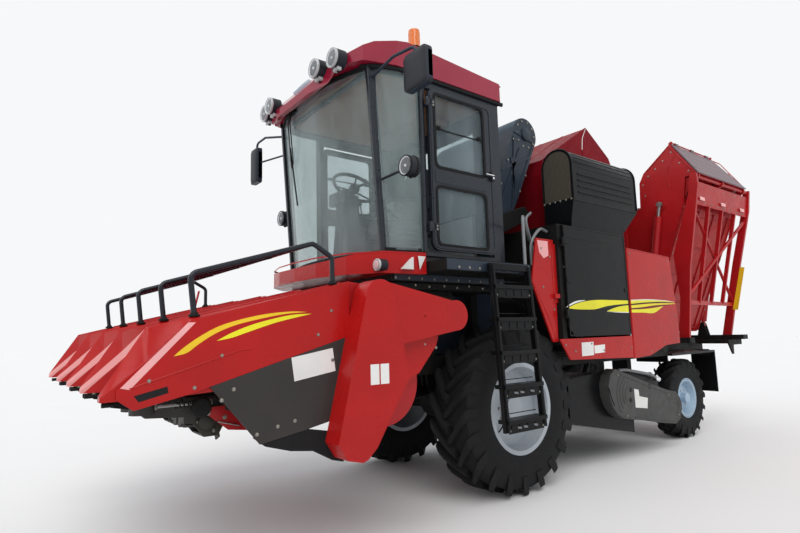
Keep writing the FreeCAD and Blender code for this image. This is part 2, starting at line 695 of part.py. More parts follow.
def cab_glass():
    pane = corner_pane()
    return Part.Compound([windscreen(), pane, mirrored(pane), rear_pane()])


def cab_shell():
    """Cab floor, posts, sills, rear wall and roof ring, with every pane's edge seated in it."""
    floor_outline = [(CAB_REAR_X, -CAB_HALF_Y), (A_FOOT_X - 10, -CAB_HALF_Y + 70), (A_FOOT_X - 10, CAB_HALF_Y - 70),
                     (CAB_REAR_X, CAB_HALF_Y)]
    pieces = [slab(floor_outline, "xy", PLATFORM_TOP_Z, CAB_FLOOR_Z)]
    wall = box((CAB_REAR_X, CAB_REAR_X + 30), (-CAB_HALF_Y, CAB_HALF_Y), (CAB_FLOOR_Z, CAB_TOP_Z))
    wall = wall.cut(box((CAB_REAR_X - 1, CAB_REAR_X + 31), (-548, 548), (2432, 3228)))
    pieces.append(wall)
    for side in (-1, 1):
        y = (side * (CAB_HALF_Y - 46), side * CAB_HALF_Y)
        pieces.append(box((CAB_REAR_X, DOOR_REAR_X - 10), y, (CAB_FLOOR_Z, CAB_TOP_Z)))
        pieces.append(box((DOOR_FRONT_X + 12, DOOR_FRONT_X + 12 + POST), y, (CAB_FLOOR_Z, CAB_TOP_Z)))
        pieces.append(box((CAB_REAR_X, DOOR_FRONT_X + 12 + POST), y, (CAB_FLOOR_Z, SIDE_FOOT_Z)))
        pieces.append(box((CAB_REAR_X, DOOR_FRONT_X + 12 + POST), y, (DOOR_HIGH_Z + 12, CAB_TOP_Z)))
        foot = [(A_FOOT_X - POST, side * (A_POST_Y - 2)), (A_FOOT_X, side * (A_POST_Y - 12)),
                (A_FOOT_X, side * (A_POST_Y + 8)), (A_FOOT_X - POST, side * (A_POST_Y + 26))]
        lean = A_HEAD_X - A_FOOT_X
        rings = []
        for shift, z in ((0, CAB_FLOOR_Z), (lean, CAB_TOP_Z)):
            corners = [Vector(x + shift, y0, z) for x, y0 in foot]
            rings.append(Part.makePolygon(corners + corners[:1]))
        pieces.append(Part.makeLoft(rings, True, True))
        sill = [(DOOR_FRONT_X + 20, side * (CAB_HALF_Y - 46)), (DOOR_FRONT_X + 20, side * CAB_HALF_Y),
                (A_FOOT_X - 10, side * (A_POST_Y + 20)), (A_FOOT_X - 10, side * (A_POST_Y - 6))]
        pieces.append(slab(sill, "xy", CAB_FLOOR_Z, SIDE_FOOT_Z))
        header = [(DOOR_FRONT_X + 20, side * (CAB_HALF_Y - 46)), (DOOR_FRONT_X + 20, side * CAB_HALF_Y),
                  (A_HEAD_X - 10, side * (A_POST_Y + 18)), (A_HEAD_X - 10, side * (A_POST_Y - 6))]
        pieces.append(slab(header, "xy", CAB_TOP_Z - 40, CAB_TOP_Z))
        for z in (2120, 3160):
            pieces.append(box((DOOR_HINGE_X - 12, DOOR_HINGE_X + 12), (side * (CAB_HALF_Y - 5), side * DOOR_HINGE_Y), (z, z + 18)))
            pieces.append(along_z(DOOR_HINGE_X, side * DOOR_HINGE_Y, DOOR_PIN_R, z, z + 78))
            pieces.append(along_z(DOOR_HINGE_X, side * DOOR_HINGE_Y, 13, z, z + 18))
    pieces.append(box((A_HEAD_X - 60, A_HEAD_X - 20), (-A_POST_Y, A_POST_Y), (CAB_TOP_Z - 40, CAB_TOP_Z)))
    shell = fuse(pieces)
    pane = corner_pane()
    for glass in (windscreen(), pane, mirrored(pane), rear_pane()):
        shell = shell.cut(glass)
    return shell


def door_windows():
    x = (DOOR_REAR_X + 110, DOOR_FRONT_X - 60)
    return (x, (2665, DOOR_HIGH_Z - 45)), (x, (DOOR_LOW_Z + 45, 2500))


def cab_door():
    y = (CAB_HALF_Y + MOVING_GAP, CAB_HALF_Y + MOVING_GAP + DOOR_THICK)
    leaf = box((DOOR_REAR_X, DOOR_FRONT_X), y, (DOOR_LOW_Z, DOOR_HIGH_Z))
    edges = [e for e in leaf.Edges if abs(e.tangentAt(0).y) > 0.9]
    leaf = leaf.makeFillet(70, edges)
    for x, z in door_windows():
        leaf = leaf.cut(box(x, (y[0] - 1, y[1] + 1), z))
        leaf = leaf.cut(box((x[0] - 12, x[1] + 12), (y[0] + 12, y[0] + 18), (z[0] - 12, z[1] + 12)))
    pieces = [leaf]
    for z in (2120, 3160):
        pieces.append(along_z(DOOR_HINGE_X, DOOR_HINGE_Y, 14, z + 19, z + 76))
        pieces.append(box((DOOR_FRONT_X - 70, DOOR_HINGE_X), (y[1] - 3, y[1] + 5), (z + 22, z + 73)))
    pieces.append(box((DOOR_REAR_X + 8, DOOR_REAR_X + 50), (y[1], y[1] + 26), (2640, 2720)))
    pieces.append(box((DOOR_REAR_X + 20, DOOR_REAR_X + 130), (y[1] + 18, y[1] + 30), (2670, 2692)))
    door = fuse(pieces)
    for z in (2120, 3160):
        door = door.cut(along_z(DOOR_HINGE_X, DOOR_HINGE_Y, DOOR_PIN_R + SHAFT_GAP, z + 10, z + 90))
    return door


def door_glass():
    y = (CAB_HALF_Y + MOVING_GAP + 12, CAB_HALF_Y + MOVING_GAP + 18)
    return Part.Compound([box((x[0] - 12, x[1] + 12), y, (z[0] - 12, z[1] + 12)) for x, z in door_windows()])


def cab_roof():
    side = slab(
        [(ROOF_REAR_X, CAB_TOP_Z), (ROOF_REAR_X, 3560), (ROOF_REAR_X + 60, 3600), (1040, 3660), (1330, 3600),
         (1520, 3500), (ROOF_FRONT_X, 3350), (ROOF_FRONT_X - 20, 3300), (ROOF_FRONT_X - 70, 3310),
         (1530, CAB_TOP_Z)], "xz", -880, 880)
    plan = slab(
        [(ROOF_REAR_X, -820), (ROOF_REAR_X + 60, -880), (1150, -880), (1420, -800), (1560, -560), (ROOF_FRONT_X, -200),
         (ROOF_FRONT_X, 200), (1560, 560), (1420, 800), (1150, 880), (ROOF_REAR_X + 60, 880), (ROOF_REAR_X, 820)],
        "xy", 3200, 3800)
    return side.common(plan)


def cab_fairing():
    """Red nose under the windscreen, wrapping back along both sides of the cab floor."""
    outline = [(960, -930), (1310, -860), (1500, -640), (1590, -330), (1610, 0), (1590, 330), (1500, 640), (1310, 860), (960, 930)]
    nose = slab(outline, "xy", 1770, CAB_FLOOR_Z + 6)
    floor_room = box((0, A_FOOT_X - 10), (-CAB_HALF_Y, CAB_HALF_Y), (1700, 2200))
    nose = nose.cut(floor_room)
    slope = slab([(1300, CAB_FLOOR_Z + 7), (1500, CAB_FLOOR_Z + 7), (1700, CAB_FLOOR_Z + 7), (1700, 1860), (1420, CAB_FLOOR_Z + 2)],
                 "xz", -1000, 1000)
    return nose.cut(slope).cut(cab_shell())


def platform():
    """Cab base between the rails and the cab floor, with a walkway on the ladder side."""
    base = box((-40, A_FOOT_X - 12), (-CAB_HALF_Y + 20, CAB_HALF_Y - 20), (PLATFORM_LOW_Z, PLATFORM_TOP_Z))
    walk = box((0, 950), (CAB_HALF_Y - 20, 1150), (PLATFORM_LOW_Z + 60, PLATFORM_TOP_Z))
    pieces = [base, walk]
    for side in (-1, 1):
        for x in (0, 540):
            y = (side * (RAIL_Y - 40), side * (RAIL_Y + 40))
            pieces.append(box((x - 40, x + 40), y, (RAIL_TOP, PLATFORM_LOW_Z)))
    return fuse(pieces)


def ladder():
    top, low = PLATFORM_LOW_Z + 60, 570
    y_top, y_low = 1190, 1270
    pieces = []
    for x in LADDER_X:
        pieces.append(beam((x, y_low, low), (x, y_top, top + 60), 18, 14))
    for k in range(5):
        z = low + 60 + k * 255
        y = y_low + (y_top - y_low) * (z - low) / (top - low)
        pieces.append(box(LADDER_X, (y - 70, y + 40), (z, z + 30)))
    pieces.append(box(LADDER_X, (1150, y_top + 15), (PLATFORM_LOW_Z + 80, PLATFORM_TOP_Z - 20)))
    return fuse(pieces)


def handrails():
    """Grey tube rail behind the door on the walkway."""
    rear = bent_tube([(20, 1120, PLATFORM_TOP_Z), (20, 1120, 2300), (-150, 1000, 2300), (-330, 900, 2140), (-494, 900, 2140)], 14, 60)
    return Part.Compound([rear])


def mirrors():
    """Left and right mirrors on their arms."""
    left_arm = bent_tube([(a_post_x(3330), A_POST_Y + 4, 3330), (1290, 1010, 3400), (1250, 1230, 3400), (1250, 1230, 3150)], 12, 50)
    left_head = box((1215, 1265), (1100, 1370), (3070, 3360))
    left_head = left_head.makeFillet(45, [e for e in left_head.Edges if abs(e.tangentAt(0).x) > 0.9])
    right_arms = [
        bent_tube([(a_post_x(3330) - 7, -A_POST_Y - 4, 3330), (1400, -1080, 3400), (1400, -1300, 3400), (1400, -1300, 3060)], 11, 50),
        rod((a_post_x(3150) - 7, -A_POST_Y - 4, 3150), (1400, -1300, 3180), 9),
    ]
    right_head = box((1375, 1425), (-HALF_WIDTH, -1220), (2960, 3340))
    right_head = right_head.makeFillet(22, [e for e in right_head.Edges if abs(e.tangentAt(0).x) > 0.9])
    left = cab_trimmed(fuse([left_arm, left_head]))
    right = cab_trimmed(fuse(right_arms + [right_head]))
    return Part.Compound([left, right])


ROOF_LAMPS = ((1555, 430, 3450), (1510, 640, 3460))


def lamps():
    """Four round roof lamps, two side lamps on arms, and two marker lamps on the fairing."""
    pieces = []
    for x, y, z in ROOF_LAMPS:
        pieces.append(along_x(y, z, 78, x, x + 95).cut(cab_roof()))
    arm = rod((1190, 1053, 2550), (a_post_x(2510), A_POST_Y + 4, 2510), 10)
    pieces.append(cab_trimmed(fuse([along_x(1053, 2550, 78, 1145, 1235), arm]), LAMP_ARM_SEAT_Y))
    marker = along_x(845, 1830, 45, 1290, 1362).cut(cab_fairing())
    pieces.append(marker)
    return Part.Compound(pieces + [mirrored(p) for p in pieces])


def beacon():
    body = fuse([along_z(815, 700, 60, 3560, 3680), along_z(815, 700, 48, 3680, 3920)])
    return body.cut(cab_roof())


def seat():
    base = box((330, 620), (-170, 170), (CAB_FLOOR_Z, 2240))
    cushion = box((250, 760), (-255, 255), (2240, 2370))
    back = slab([(250, 2370), (370, 2370), (250, 2950), (150, 2950)], "xz", -240, 240)
    return fuse([base, cushion, back])


def steering_console():
    column = slab([(1010, CAB_FLOOR_Z), (1180, CAB_FLOOR_Z), (1120, 2560), (1030, 2560)], "xz", -110, 110)
    stem = rod((1060, 0, 2540), (1000, 0, 2660), 24)
    ring = Part.makeTorus(205, 16, Vector(1000, 0, 2660), Vector(-0.45, 0, 0.9))
    spokes = rod((1000, -200, 2660), (1000, 200, 2660), 12)
    hub = Part.makeCylinder(48, 30, Vector(1008, 0, 2642), Vector(-0.45, 0, 0.9))
    side_box = box((330, 800), (-560, -330), (CAB_FLOOR_Z, 2480))
    return Part.Compound([fuse([column, stem, ring, spokes, hub]), side_box])


# ---------------------------------------------------------------- header
FOLD_X = 2790
NOSE_X = 3000
SNOUT_REAR_X = TROUGH_X + TROUGH_R + 12
SNOUT_WALL = 5
SIDE_SKIN = 14


def snout_section(x):
    """Half width of a snout at x, and its heights: foot, shoulder, ridge and the top of a flat outer side."""
    stations = (
        (SNOUT_TIP_X, 24, 1048, 1062, 1080, 1066),
        (NOSE_X, 92, 1049, 1215, 1385, 1222),
        (FOLD_X, 150, 1050, 1330, 1437, 1424),
        (SNOUT_REAR_X, 205, 1100, 1560, 1652, 1644),
    )
    for ahead, behind in zip(stations, stations[1:]):
        if behind[0] <= x <= ahead[0]:
            t = (ahead[0] - x) / (ahead[0] - behind[0])
            return [a + (b - a) * t for a, b in zip(ahead[1:], behind[1:])]
    raise ValueError(x)


def snout_foot(x):
    return snout_section(x)[1]


def snout_ridge(x):
    return snout_section(x)[3]


def snout_loft(centre, limit, wall, stations):
    """Ruled loft through snout sections; limit, when given, is the y of a flat outer side."""
    rings = []
    for x in stations:
        wide, foot, shoulder, ridge, flat_top = snout_section(x)
        sign = 1 if centre >= 0 else -1
        inner_y = centre - sign * (wide - wall)
        if limit is None:
            outer_y, outer_z = centre + sign * (wide - wall), shoulder
        else:
            outer_y, outer_z = sign * (limit - wall), flat_top
        drop = 1.6 * wall
        low = foot - (20 if wall else 0)
        points = [(inner_y, low), (inner_y, shoulder - drop), (centre, ridge - drop), (outer_y, outer_z - drop), (outer_y, low)]
        corners = [Vector(x, y, z) for y, z in points]
        rings.append(Part.makePolygon(corners + corners[:1]))
    return Part.makeLoft(rings, True, True)


def snout_list():
    shells = []
    for k in range(ROWS + 1):
        centre = ROW_PITCH * (k - ROWS / 2)
        limit = HEADER_SIDE_Y - SIDE_SKIN if abs(k - ROWS / 2) == ROWS / 2 else None
        outer = snout_loft(centre, limit, 0, (SNOUT_TIP_X, NOSE_X, FOLD_X, SNOUT_REAR_X))
        inner = snout_loft(centre, limit, SNOUT_WALL, (SNOUT_TIP_X - 60, NOSE_X, FOLD_X, SNOUT_REAR_X))
        shells.append(outer.cut(inner))
    return shells


def crop_bars():
    """Bent tube guides along the snouts from the fold to the trough, the middle ones ending on a cross tube."""
    bars = []
    front_x, rear_x = FOLD_X - 20, SNOUT_REAR_X + 90
    half = ROW_PITCH * ROWS / 2
    top = (rear_x + 130, 1875)
    for k in range(ROWS + 1):
        y = ROW_PITCH * k - half
        route = [(front_x, y, snout_ridge(front_x) - 2), (front_x + 25, y, 1660), (top[0], y, top[1])]
        if k in (0, ROWS):
            route += [(rear_x, y, 1800), (rear_x, y, snout_ridge(rear_x) - 2)]
        bars.append(bent_tube(route, 15, 45))
    bars.append(rod((top[0], -half, top[1]), (top[0], half, top[1]), 13))
    return fuse(bars).cut(Part.Compound(snout_list()))


def row_units():
    """Four row units: a gearbox at the trough, two deck arms with stalk rolls, and front idlers."""
    units = []
    for k in range(ROWS):
        y = ROW_PITCH * (k - (ROWS - 1) / 2)
        pieces = [box((SNOUT_REAR_X, SNOUT_REAR_X + 190), (y - 150, y + 150), (800, 1010))]
        for side in (-1, 1):
            ya, yb = sorted((y + side * 75, y + side * 125))
            pieces.append(slab([(SNOUT_REAR_X + 150, 860), (SNOUT_REAR_X + 150, 960), (2960, 1020), (3010, 985), (2950, 930)],
                               "xz", ya, yb))
            pieces.append(along_z(2960, y + side * 100, 62, 950, 1005))
            pieces.append(rod((SNOUT_REAR_X + 180, y + side * 48, 830), (2760, y + side * 48, 890), 34))
            pieces.append(box((2700, 2760), (y + side * 14, y + side * 125), (880, 925)))
            support = [(2480, 940), (2560, 940), (2560, snout_foot(2560)), (2480, snout_foot(2480))]
            pieces.append(slab(support, "xz", *sorted((y + side * 75, y + side * 240))))
        units.append(fuse(pieces))
    return Part.Compound(units)


def header_frame():
    """Auger trough with its back wall, end plates and rear beam."""
    half = HEADER_SIDE_Y - SIDE_SKIN
    outer_r = TROUGH_R + 12
    tub = along_y(TROUGH_X, TROUGH_Z, outer_r, -half, half)
    tub = tub.fuse(box((TROUGH_X - outer_r, TROUGH_X + outer_r), (-half, half), (TROUGH_Z, 1120)))
    tub = tub.fuse(box((TROUGH_X - outer_r, TROUGH_X - TROUGH_R), (-half, half), (TROUGH_Z, 1590)))
    hollow = along_y(TROUGH_X, TROUGH_Z, TROUGH_R, -half + 12, half - 12)
    hollow = hollow.fuse(box((TROUGH_X - TROUGH_R, TROUGH_X + TROUGH_R), (-half + 12, half - 12), (TROUGH_Z, 1800)))
    pieces = [tub.cut(hollow)]
    for side in (-1, 1):
        y = sorted((side * (half - 12), side * half))
        pieces.append(slab([(TROUGH_X - outer_r, 1590), (TROUGH_X + outer_r, 1652), (TROUGH_X + outer_r, TROUGH_Z),
                            (TROUGH_X - outer_r, TROUGH_Z)], "xz", y[0], y[1]))
        foot = snout_foot(2100) - 25
        pieces.append(slab([(TROUGH_X + outer_r - 4, foot), (2100, foot), (2100, 830), (1980, 830), (TROUGH_X + 100, 800)],
                           "xz", y[0], y[1]))
    pieces.append(box((TROUGH_X - outer_r - 90, TROUGH_X - outer_r), (-half, half), (1480, 1590)))
    pieces.append(along_y(TROUGH_X, TROUGH_Z, 70, -half + 6, half - 6))
    frame = fuse(pieces)
    mouth = box((TROUGH_X - outer_r - 1, TROUGH_X - TROUGH_R + 30), (-FEEDER_HALF_Y + 30, FEEDER_HALF_Y - 30), (840, 1380))
    return frame.cut(mouth.cut(along_y(TROUGH_X, TROUGH_Z, 80, -half, half)))


def feeder_house():
    """Casing from the trough's mouth back to the lift pivot, with the pivot tube and the lift clevises."""
    front = TROUGH_X - TROUGH_R - 12
    casing = slab([(front, 790), (front, 1430), (LIFT_X, 1450), (LIFT_X - 140, LIFT_Z), (LIFT_X, 1090), (1150, 800)], "xz",
                  -FEEDER_HALF_Y, FEEDER_HALF_Y)
    rounded = along_y(LIFT_X, LIFT_Z, 150, -FEEDER_HALF_Y, FEEDER_HALF_Y)
    room = slab([(front + 1, 830), (front + 1, 1390), (LIFT_X, 1410), (LIFT_X - 60, LIFT_Z), (LIFT_X, 1130), (1170, 840)],
                "xz", -FEEDER_HALF_Y + 12, FEEDER_HALF_Y - 12)
    pieces = [casing.fuse(rounded).cut(room)]
    pieces.append(along_y(LIFT_X, LIFT_Z, LIFT_PIN_R, -RAIL_Y - 60, RAIL_Y + 60))
    for y in (-LIFT_CYL_Y, LIFT_CYL_Y):
        ears = clevis(LIFT_EYE, y, "y", [(LIFT_EYE[0] + 60, 795), (LIFT_EYE[0] - 60, 795)], open_pin=True)
        pieces += ears.Solids
    return fuse(pieces)


def header_side_panels():
    y = (HEADER_SIDE_Y - SIDE_SKIN, HEADER_SIDE_Y)
    return both_sides(slab(
        [(3125, 1098), (2800, 1420), (SNOUT_REAR_X, 1650), (SNOUT_REAR_X, 1318), (2700, 1082), (2770, 1060), (3050, 1000),
         (3125, 1056)], "xz", y[0], y[1]))


def header_lower_panels():
    y = (HEADER_SIDE_Y - SIDE_SKIN, HEADER_SIDE_Y)
    return both_sides(slab(
        [(2700, 1082), (SNOUT_REAR_X, 1318), (1930, 845), (2170, 800), (2430, 760)], "xz", y[0], y[1]))


def drive_cover():
    """Chain cover on the left end: a long tapering leg, a rearward arm and a recessed plate between them."""
    y = (HEADER_SIDE_Y, HALF_WIDTH)
    leg = slab([(1838, 1545), (1618, 1545), (1575, 1320), (1528, 1053), (1619, 917), (1779, 671), (1846, 612),
                (1880, 602), (1980, 628), (2040, 720)], "xz", y[0], y[1])
    crown = along_y(1728, 1545, 110, y[0], y[1])
    arm = slab([(1660, 1640), (1130, 1535), (1060, 1340), (1620, 1250)], "xz", y[0], y[1] - 12)
    end = along_y(1095, 1436, 102, y[0], y[1] - 12)
    plate = slab([(1560, 1030), (1472, 1040), (1393, 1070), (1241, 1237), (1218, 1300), (1600, 1300)],
                 "xz", y[0], y[1] - 70)
    return fuse([leg, crown, arm, end, plate])


# ---------------------------------------------------------------- shredder
ROTOR_X = -1520
ROTOR_Z = 540
ROTOR_END_R = 24


def shredder_housing():
    """Open-bottomed sheet housing on two arms hung from the chassis rails."""
    outer = slab([(SHREDDER_FRONT_X, 850), (-1500, 850), (-2000, 690), (SHREDDER_REAR_X, 560), (SHREDDER_REAR_X, 345),
                  (-1870, 345), (-1870, 220), (SHREDDER_FRONT_X, 435)], "xz", -SHREDDER_HALF_Y, SHREDDER_HALF_Y)
    inner = slab([(SHREDDER_FRONT_X - 8, 842), (-1502, 842), (-2002, 682), (SHREDDER_REAR_X + 8, 554),
                  (SHREDDER_REAR_X + 8, 100), (SHREDDER_FRONT_X - 8, 100)], "xz", -SHREDDER_HALF_Y + 8,
                 SHREDDER_HALF_Y - 8)
    pieces = [outer.cut(inner)]
    for side in (-1, 1):
        y = sorted((side * RAIL_Y - SHRED_ARM_W / 2, side * RAIL_Y + SHRED_ARM_W / 2))
        pieces.append(ear_plate(SHREDDER_PIVOT_X, SHREDDER_PIVOT_Z, y[0], y[1],
                                [(SHREDDER_PIVOT_X + 60, 845), (SHREDDER_PIVOT_X - 60, 845)], 42))
        crest = [(SHREDDER_FRONT_X, 845), (-1500, 845), (-2000, 685), (SHREDDER_REAR_X, 555), (SHREDDER_REAR_X, 780),
                 (-2000, 835), (-1500, 895), (SHREDDER_FRONT_X, 850)]
        pieces.append(slab(crest, "xz", *sorted((side * (SHREDDER_HALF_Y - 8), side * SHREDDER_HALF_Y))))
        low, high = sorted((side * (SHREDDER_HALF_Y - 8), side * (SHREDDER_HALF_Y - 40)))
        pieces.append(along_y(ROTOR_X, ROTOR_Z, 60, low, high))
    foot = [(SHRED_EYE[0] + 50, 596), (SHRED_EYE[0] - 50, 570)]
    pieces += clevis(SHRED_EYE, 0, "y", foot, open_pin=True).Solids
    housing = fuse(pieces)
    housing = housing.cut(along_y(SHREDDER_PIVOT_X, SHREDDER_PIVOT_Z, 20 + SHAFT_GAP, -1000, 1000))
    return housing.cut(along_y(ROTOR_X, ROTOR_Z, ROTOR_END_R + SHAFT_GAP, -SHREDDER_HALF_Y + 6, SHREDDER_HALF_Y - 6))


def shredder_rotor():
    half = SHREDDER_HALF_Y - 46
    pieces = [
        along_y(ROTOR_X, ROTOR_Z, 85, -half, half),
        along_y(ROTOR_X, ROTOR_Z, ROTOR_END_R, -half - 36, half + 36),
    ]
    for k in range(9):
        y = -half + 40 + k * (2 * half - 80) / 8
        pieces.append(along_y(ROTOR_X, ROTOR_Z, 120, y - 5, y + 5))
    return fuse(pieces)


def shredder_guard():
    """Drive guard on the left: a round lobe at the rotor, a straight back and a small rear lobe."""
    outline = [(-1401, 913), (-1310, 858), (-1262, 750), (-1272, 640), (-1315, 545), (-1395, 465), (-1502, 412),
               (-1964, 340), (-2300, 275), (-2565, 237), (-2670, 280), (-2722, 390), (-2700, 500), (-2610, 585),
               (-2450, 614), (-2030, 727)]
    return slab(outline, "xz", SHREDDER_HALF_Y, SHREDDER_HALF_Y + 110)


# ---------------------------------------------------------------- bin
BIN_WALL = 6
SLOPE_END_X = -4200
LID_T = 14
LID_PIN_R = 8
LID_PIVOT_OUT = 22
EAVE = (1290, 3150)


def bin_outline():
    return [(-950, BIN_FLOOR_Z), (490, BIN_FLOOR_Z), (1100, 2780), (1150, 3128), EAVE, (RIDGE_Y, RIDGE_Z), (640, 3300),
            (575, 3180), (560, 2850), (-1150, 2850), (-1150, 1700)]


def slope_point(along, out):
    """A point on the lid slope: a distance down from the ridge, and a distance off the gable edge."""
    dy, dz = EAVE[0] - RIDGE_Y, EAVE[1] - RIDGE_Z
    length = math.hypot(dy, dz)
    dy, dz = dy / length, dz / length
    return RIDGE_Y + dy * along - dz * out, RIDGE_Z + dz * along + dy * out


def rear_wedge(inset):
    """What the sloping rear of the roof cuts away."""
    return slab([(SLOPE_END_X + inset, RIDGE_Z + 40), (SLOPE_END_X + inset, RIDGE_Z), (BIN_REAR_X + inset, 3140),
                 (BIN_REAR_X - 100, 3140), (BIN_REAR_X - 100, RIDGE_Z + 40)], "xz", -2000, 2000)


def bin_shell():
    """Tipping bin: floor, sloping left wall, gabled roof over its left side, open top, hinge lugs and clevises."""
    outline = bin_outline()
    corners = [Vector(BIN_REAR_X, y, z) for y, z in outline]
    face = Part.Face(Part.makePolygon(corners + corners[:1]))
    outer = face.extrude(Vector(BIN_FRONT_X - BIN_REAR_X, 0, 0)).cut(rear_wedge(0))
    inner = face.makeOffset2D(-BIN_WALL)
    inner.translate(Vector(BIN_WALL, 0, 0))
    inner = inner.extrude(Vector(BIN_FRONT_X - BIN_REAR_X - 2 * BIN_WALL, 0, 0)).cut(rear_wedge(BIN_WALL * 1.4))
    shell = outer.cut(inner)
    top = box((BIN_REAR_X + BIN_WALL, BIN_FRONT_X - BIN_WALL), (-1150 + BIN_WALL, 560 - BIN_WALL), (2800, 2900))
    shell = shell.cut(top)
    way = [slope_point(a, o) for a, o in ((20, -12), (500, -12), (500, 12), (20, 12))]
    slope_cut = slab(way, "yz", BIN_REAR_X + BIN_WALL, BIN_FRONT_X - BIN_WALL).cut(rear_wedge(BIN_WALL * 1.4))
    shell = shell.cut(slope_cut)
    pieces = [shell]
    for x in (BIN_FRONT_X - 40, (BIN_FRONT_X + BIN_REAR_X) / 2, BIN_REAR_X + 40):
        pieces.append(along_x(BIN_HINGE_Y, BIN_HINGE_Z, 40, x - 15, x + 15))
        pieces.append(slab([(BIN_HINGE_Y, BIN_HINGE_Z - 40), (BIN_HINGE_Y - 20, BIN_HINGE_Z + 20), (1152, 3118), (1120, 2900)],
                           "yz", x - 15, x + 15))
    for x in (BIN_FRONT_X + 1, BIN_REAR_X - 1):
        sign = 1 if x > BIN_REAR_X / 2 + BIN_FRONT_X / 2 else -1
        reach = min(abs(c - x) for c in BIN_CYL_X) - CYL_EYE_W / 2 - EAR_GAP
        low, high = sorted((x - sign, x + sign * reach))
        pieces.append(along_x(BIN_EYE[0], BIN_EYE[1], CYL_PIN_R, low, high))
        low, high = sorted((x - sign, x + sign * 12))
        pieces.append(along_x(BIN_EYE[0], BIN_EYE[1], 60, low, high))
    axis = slope_point(0, LID_PIVOT_OUT)
    for x in (BIN_FRONT_X - 10, SLOPE_END_X + 10):
        pieces.append(along_x(axis[0], axis[1], 16, x - 10, x + 10))
        ear = [slope_point(a, o) for a, o in ((-15, 22), (15, 22), (15, -2), (-15, -12))]
        pieces.append(slab(ear, "yz", x - 10, x + 10))
    pieces.append(along_x(axis[0], axis[1], LID_PIN_R, SLOPE_END_X, BIN_FRONT_X))
    shell = fuse(pieces)
    return shell.cut(along_x(BIN_HINGE_Y, BIN_HINGE_Z, BIN_HINGE_R + SHAFT_GAP, -6000, 0))


def bin_lid():
    """Perforated slope of the roof, hinged along the ridge, longer at its eave than at the ridge."""
    low, high = MOVING_GAP, MOVING_GAP + LID_T
    start, end = slope_point(34, low), slope_point(540, low)
    far_start, far_end = slope_point(34, high), slope_point(540, high)
    leaf = slab([start, end, far_end, far_start], "yz", BIN_REAR_X, BIN_FRONT_X)
    leaf = leaf.cut(rear_wedge(0))
    axis = slope_point(0, LID_PIVOT_OUT)
    pieces = [leaf]
    for x in (BIN_FRONT_X - 140, (BIN_FRONT_X + SLOPE_END_X) / 2, SLOPE_END_X + 140):
        pieces.append(along_x(axis[0], axis[1], 15, x - 40, x + 40))
        strap = [slope_point(a, o) for a, o in ((0, 12), (60, 12), (60, 22), (0, 30))]
        pieces.append(slab(strap, "yz", x - 35, x + 35))
    lid = fuse(pieces)
    return lid.cut(along_x(axis[0], axis[1], LID_PIN_R + SHAFT_GAP, -6000, 0))


def bin_stand():
    """Fixed frame on the left of the bin: two end posts, the hinge rail, an apron, low bar, ribs and crossed ties."""
    top = RAIL_TOP + BEARER_H
    post = [(1225, 3150), (1300, 3140), (1310, 3000), (1130, 2000), (1050, top), (930, top), (985, 1650), (950, 2180), (1190, 2900)]
    front = (BIN_FRONT_X + 10, BIN_FRONT_X + 50)
    rear = (TAIL_X, TAIL_X + 40)
    pieces = [slab(post, "yz", front[0], front[1])]
    rear_post = [(1225, 3150), (1300, 3140), (1270, 2860), (1095, 2130), (895, top), (785, top), (1000, 2150), (1190, 2900)]
    pieces.append(slab(rear_post, "yz", rear[0], rear[1]))
    pieces.append(along_x(BIN_HINGE_Y, BIN_HINGE_Z, BIN_HINGE_R, rear[0], front[1]))
    pieces.append(slab([(1235, 2780), (1215, 2780), (1252, 3050), (1272, 3050)], "yz", rear[0], front[1]))

    def plane_y(x, z):
        up = (z - top) / (2780 - top)
        back = (front[0] - x) / (front[0] - rear[0])
        return (960 + 265 * up) * (1 - back) + (840 + 370 * up) * back

    def member(x1, z1, x2, z2, wide):
        return beam((x1, plane_y(x1, z1), z1), (x2, plane_y(x2, z2), z2), 14, wide)

    pieces.append(member(rear[0] + 20, 1600, front[0] + 20, 1600, 25))
    span = rear[0] - front[0]
    for k in (1, 2, 3):
        x = front[0] + span * k / 4
        pieces.append(member(x, 1600, x, 2790, 22))
    pieces.append(member(front[0] + 20, 2740, rear[0] + 20, 1640, 16))
    pieces.append(member(front[0] + 20, 1640, rear[0] + 20, 2740, 16))
    return fuse(pieces)


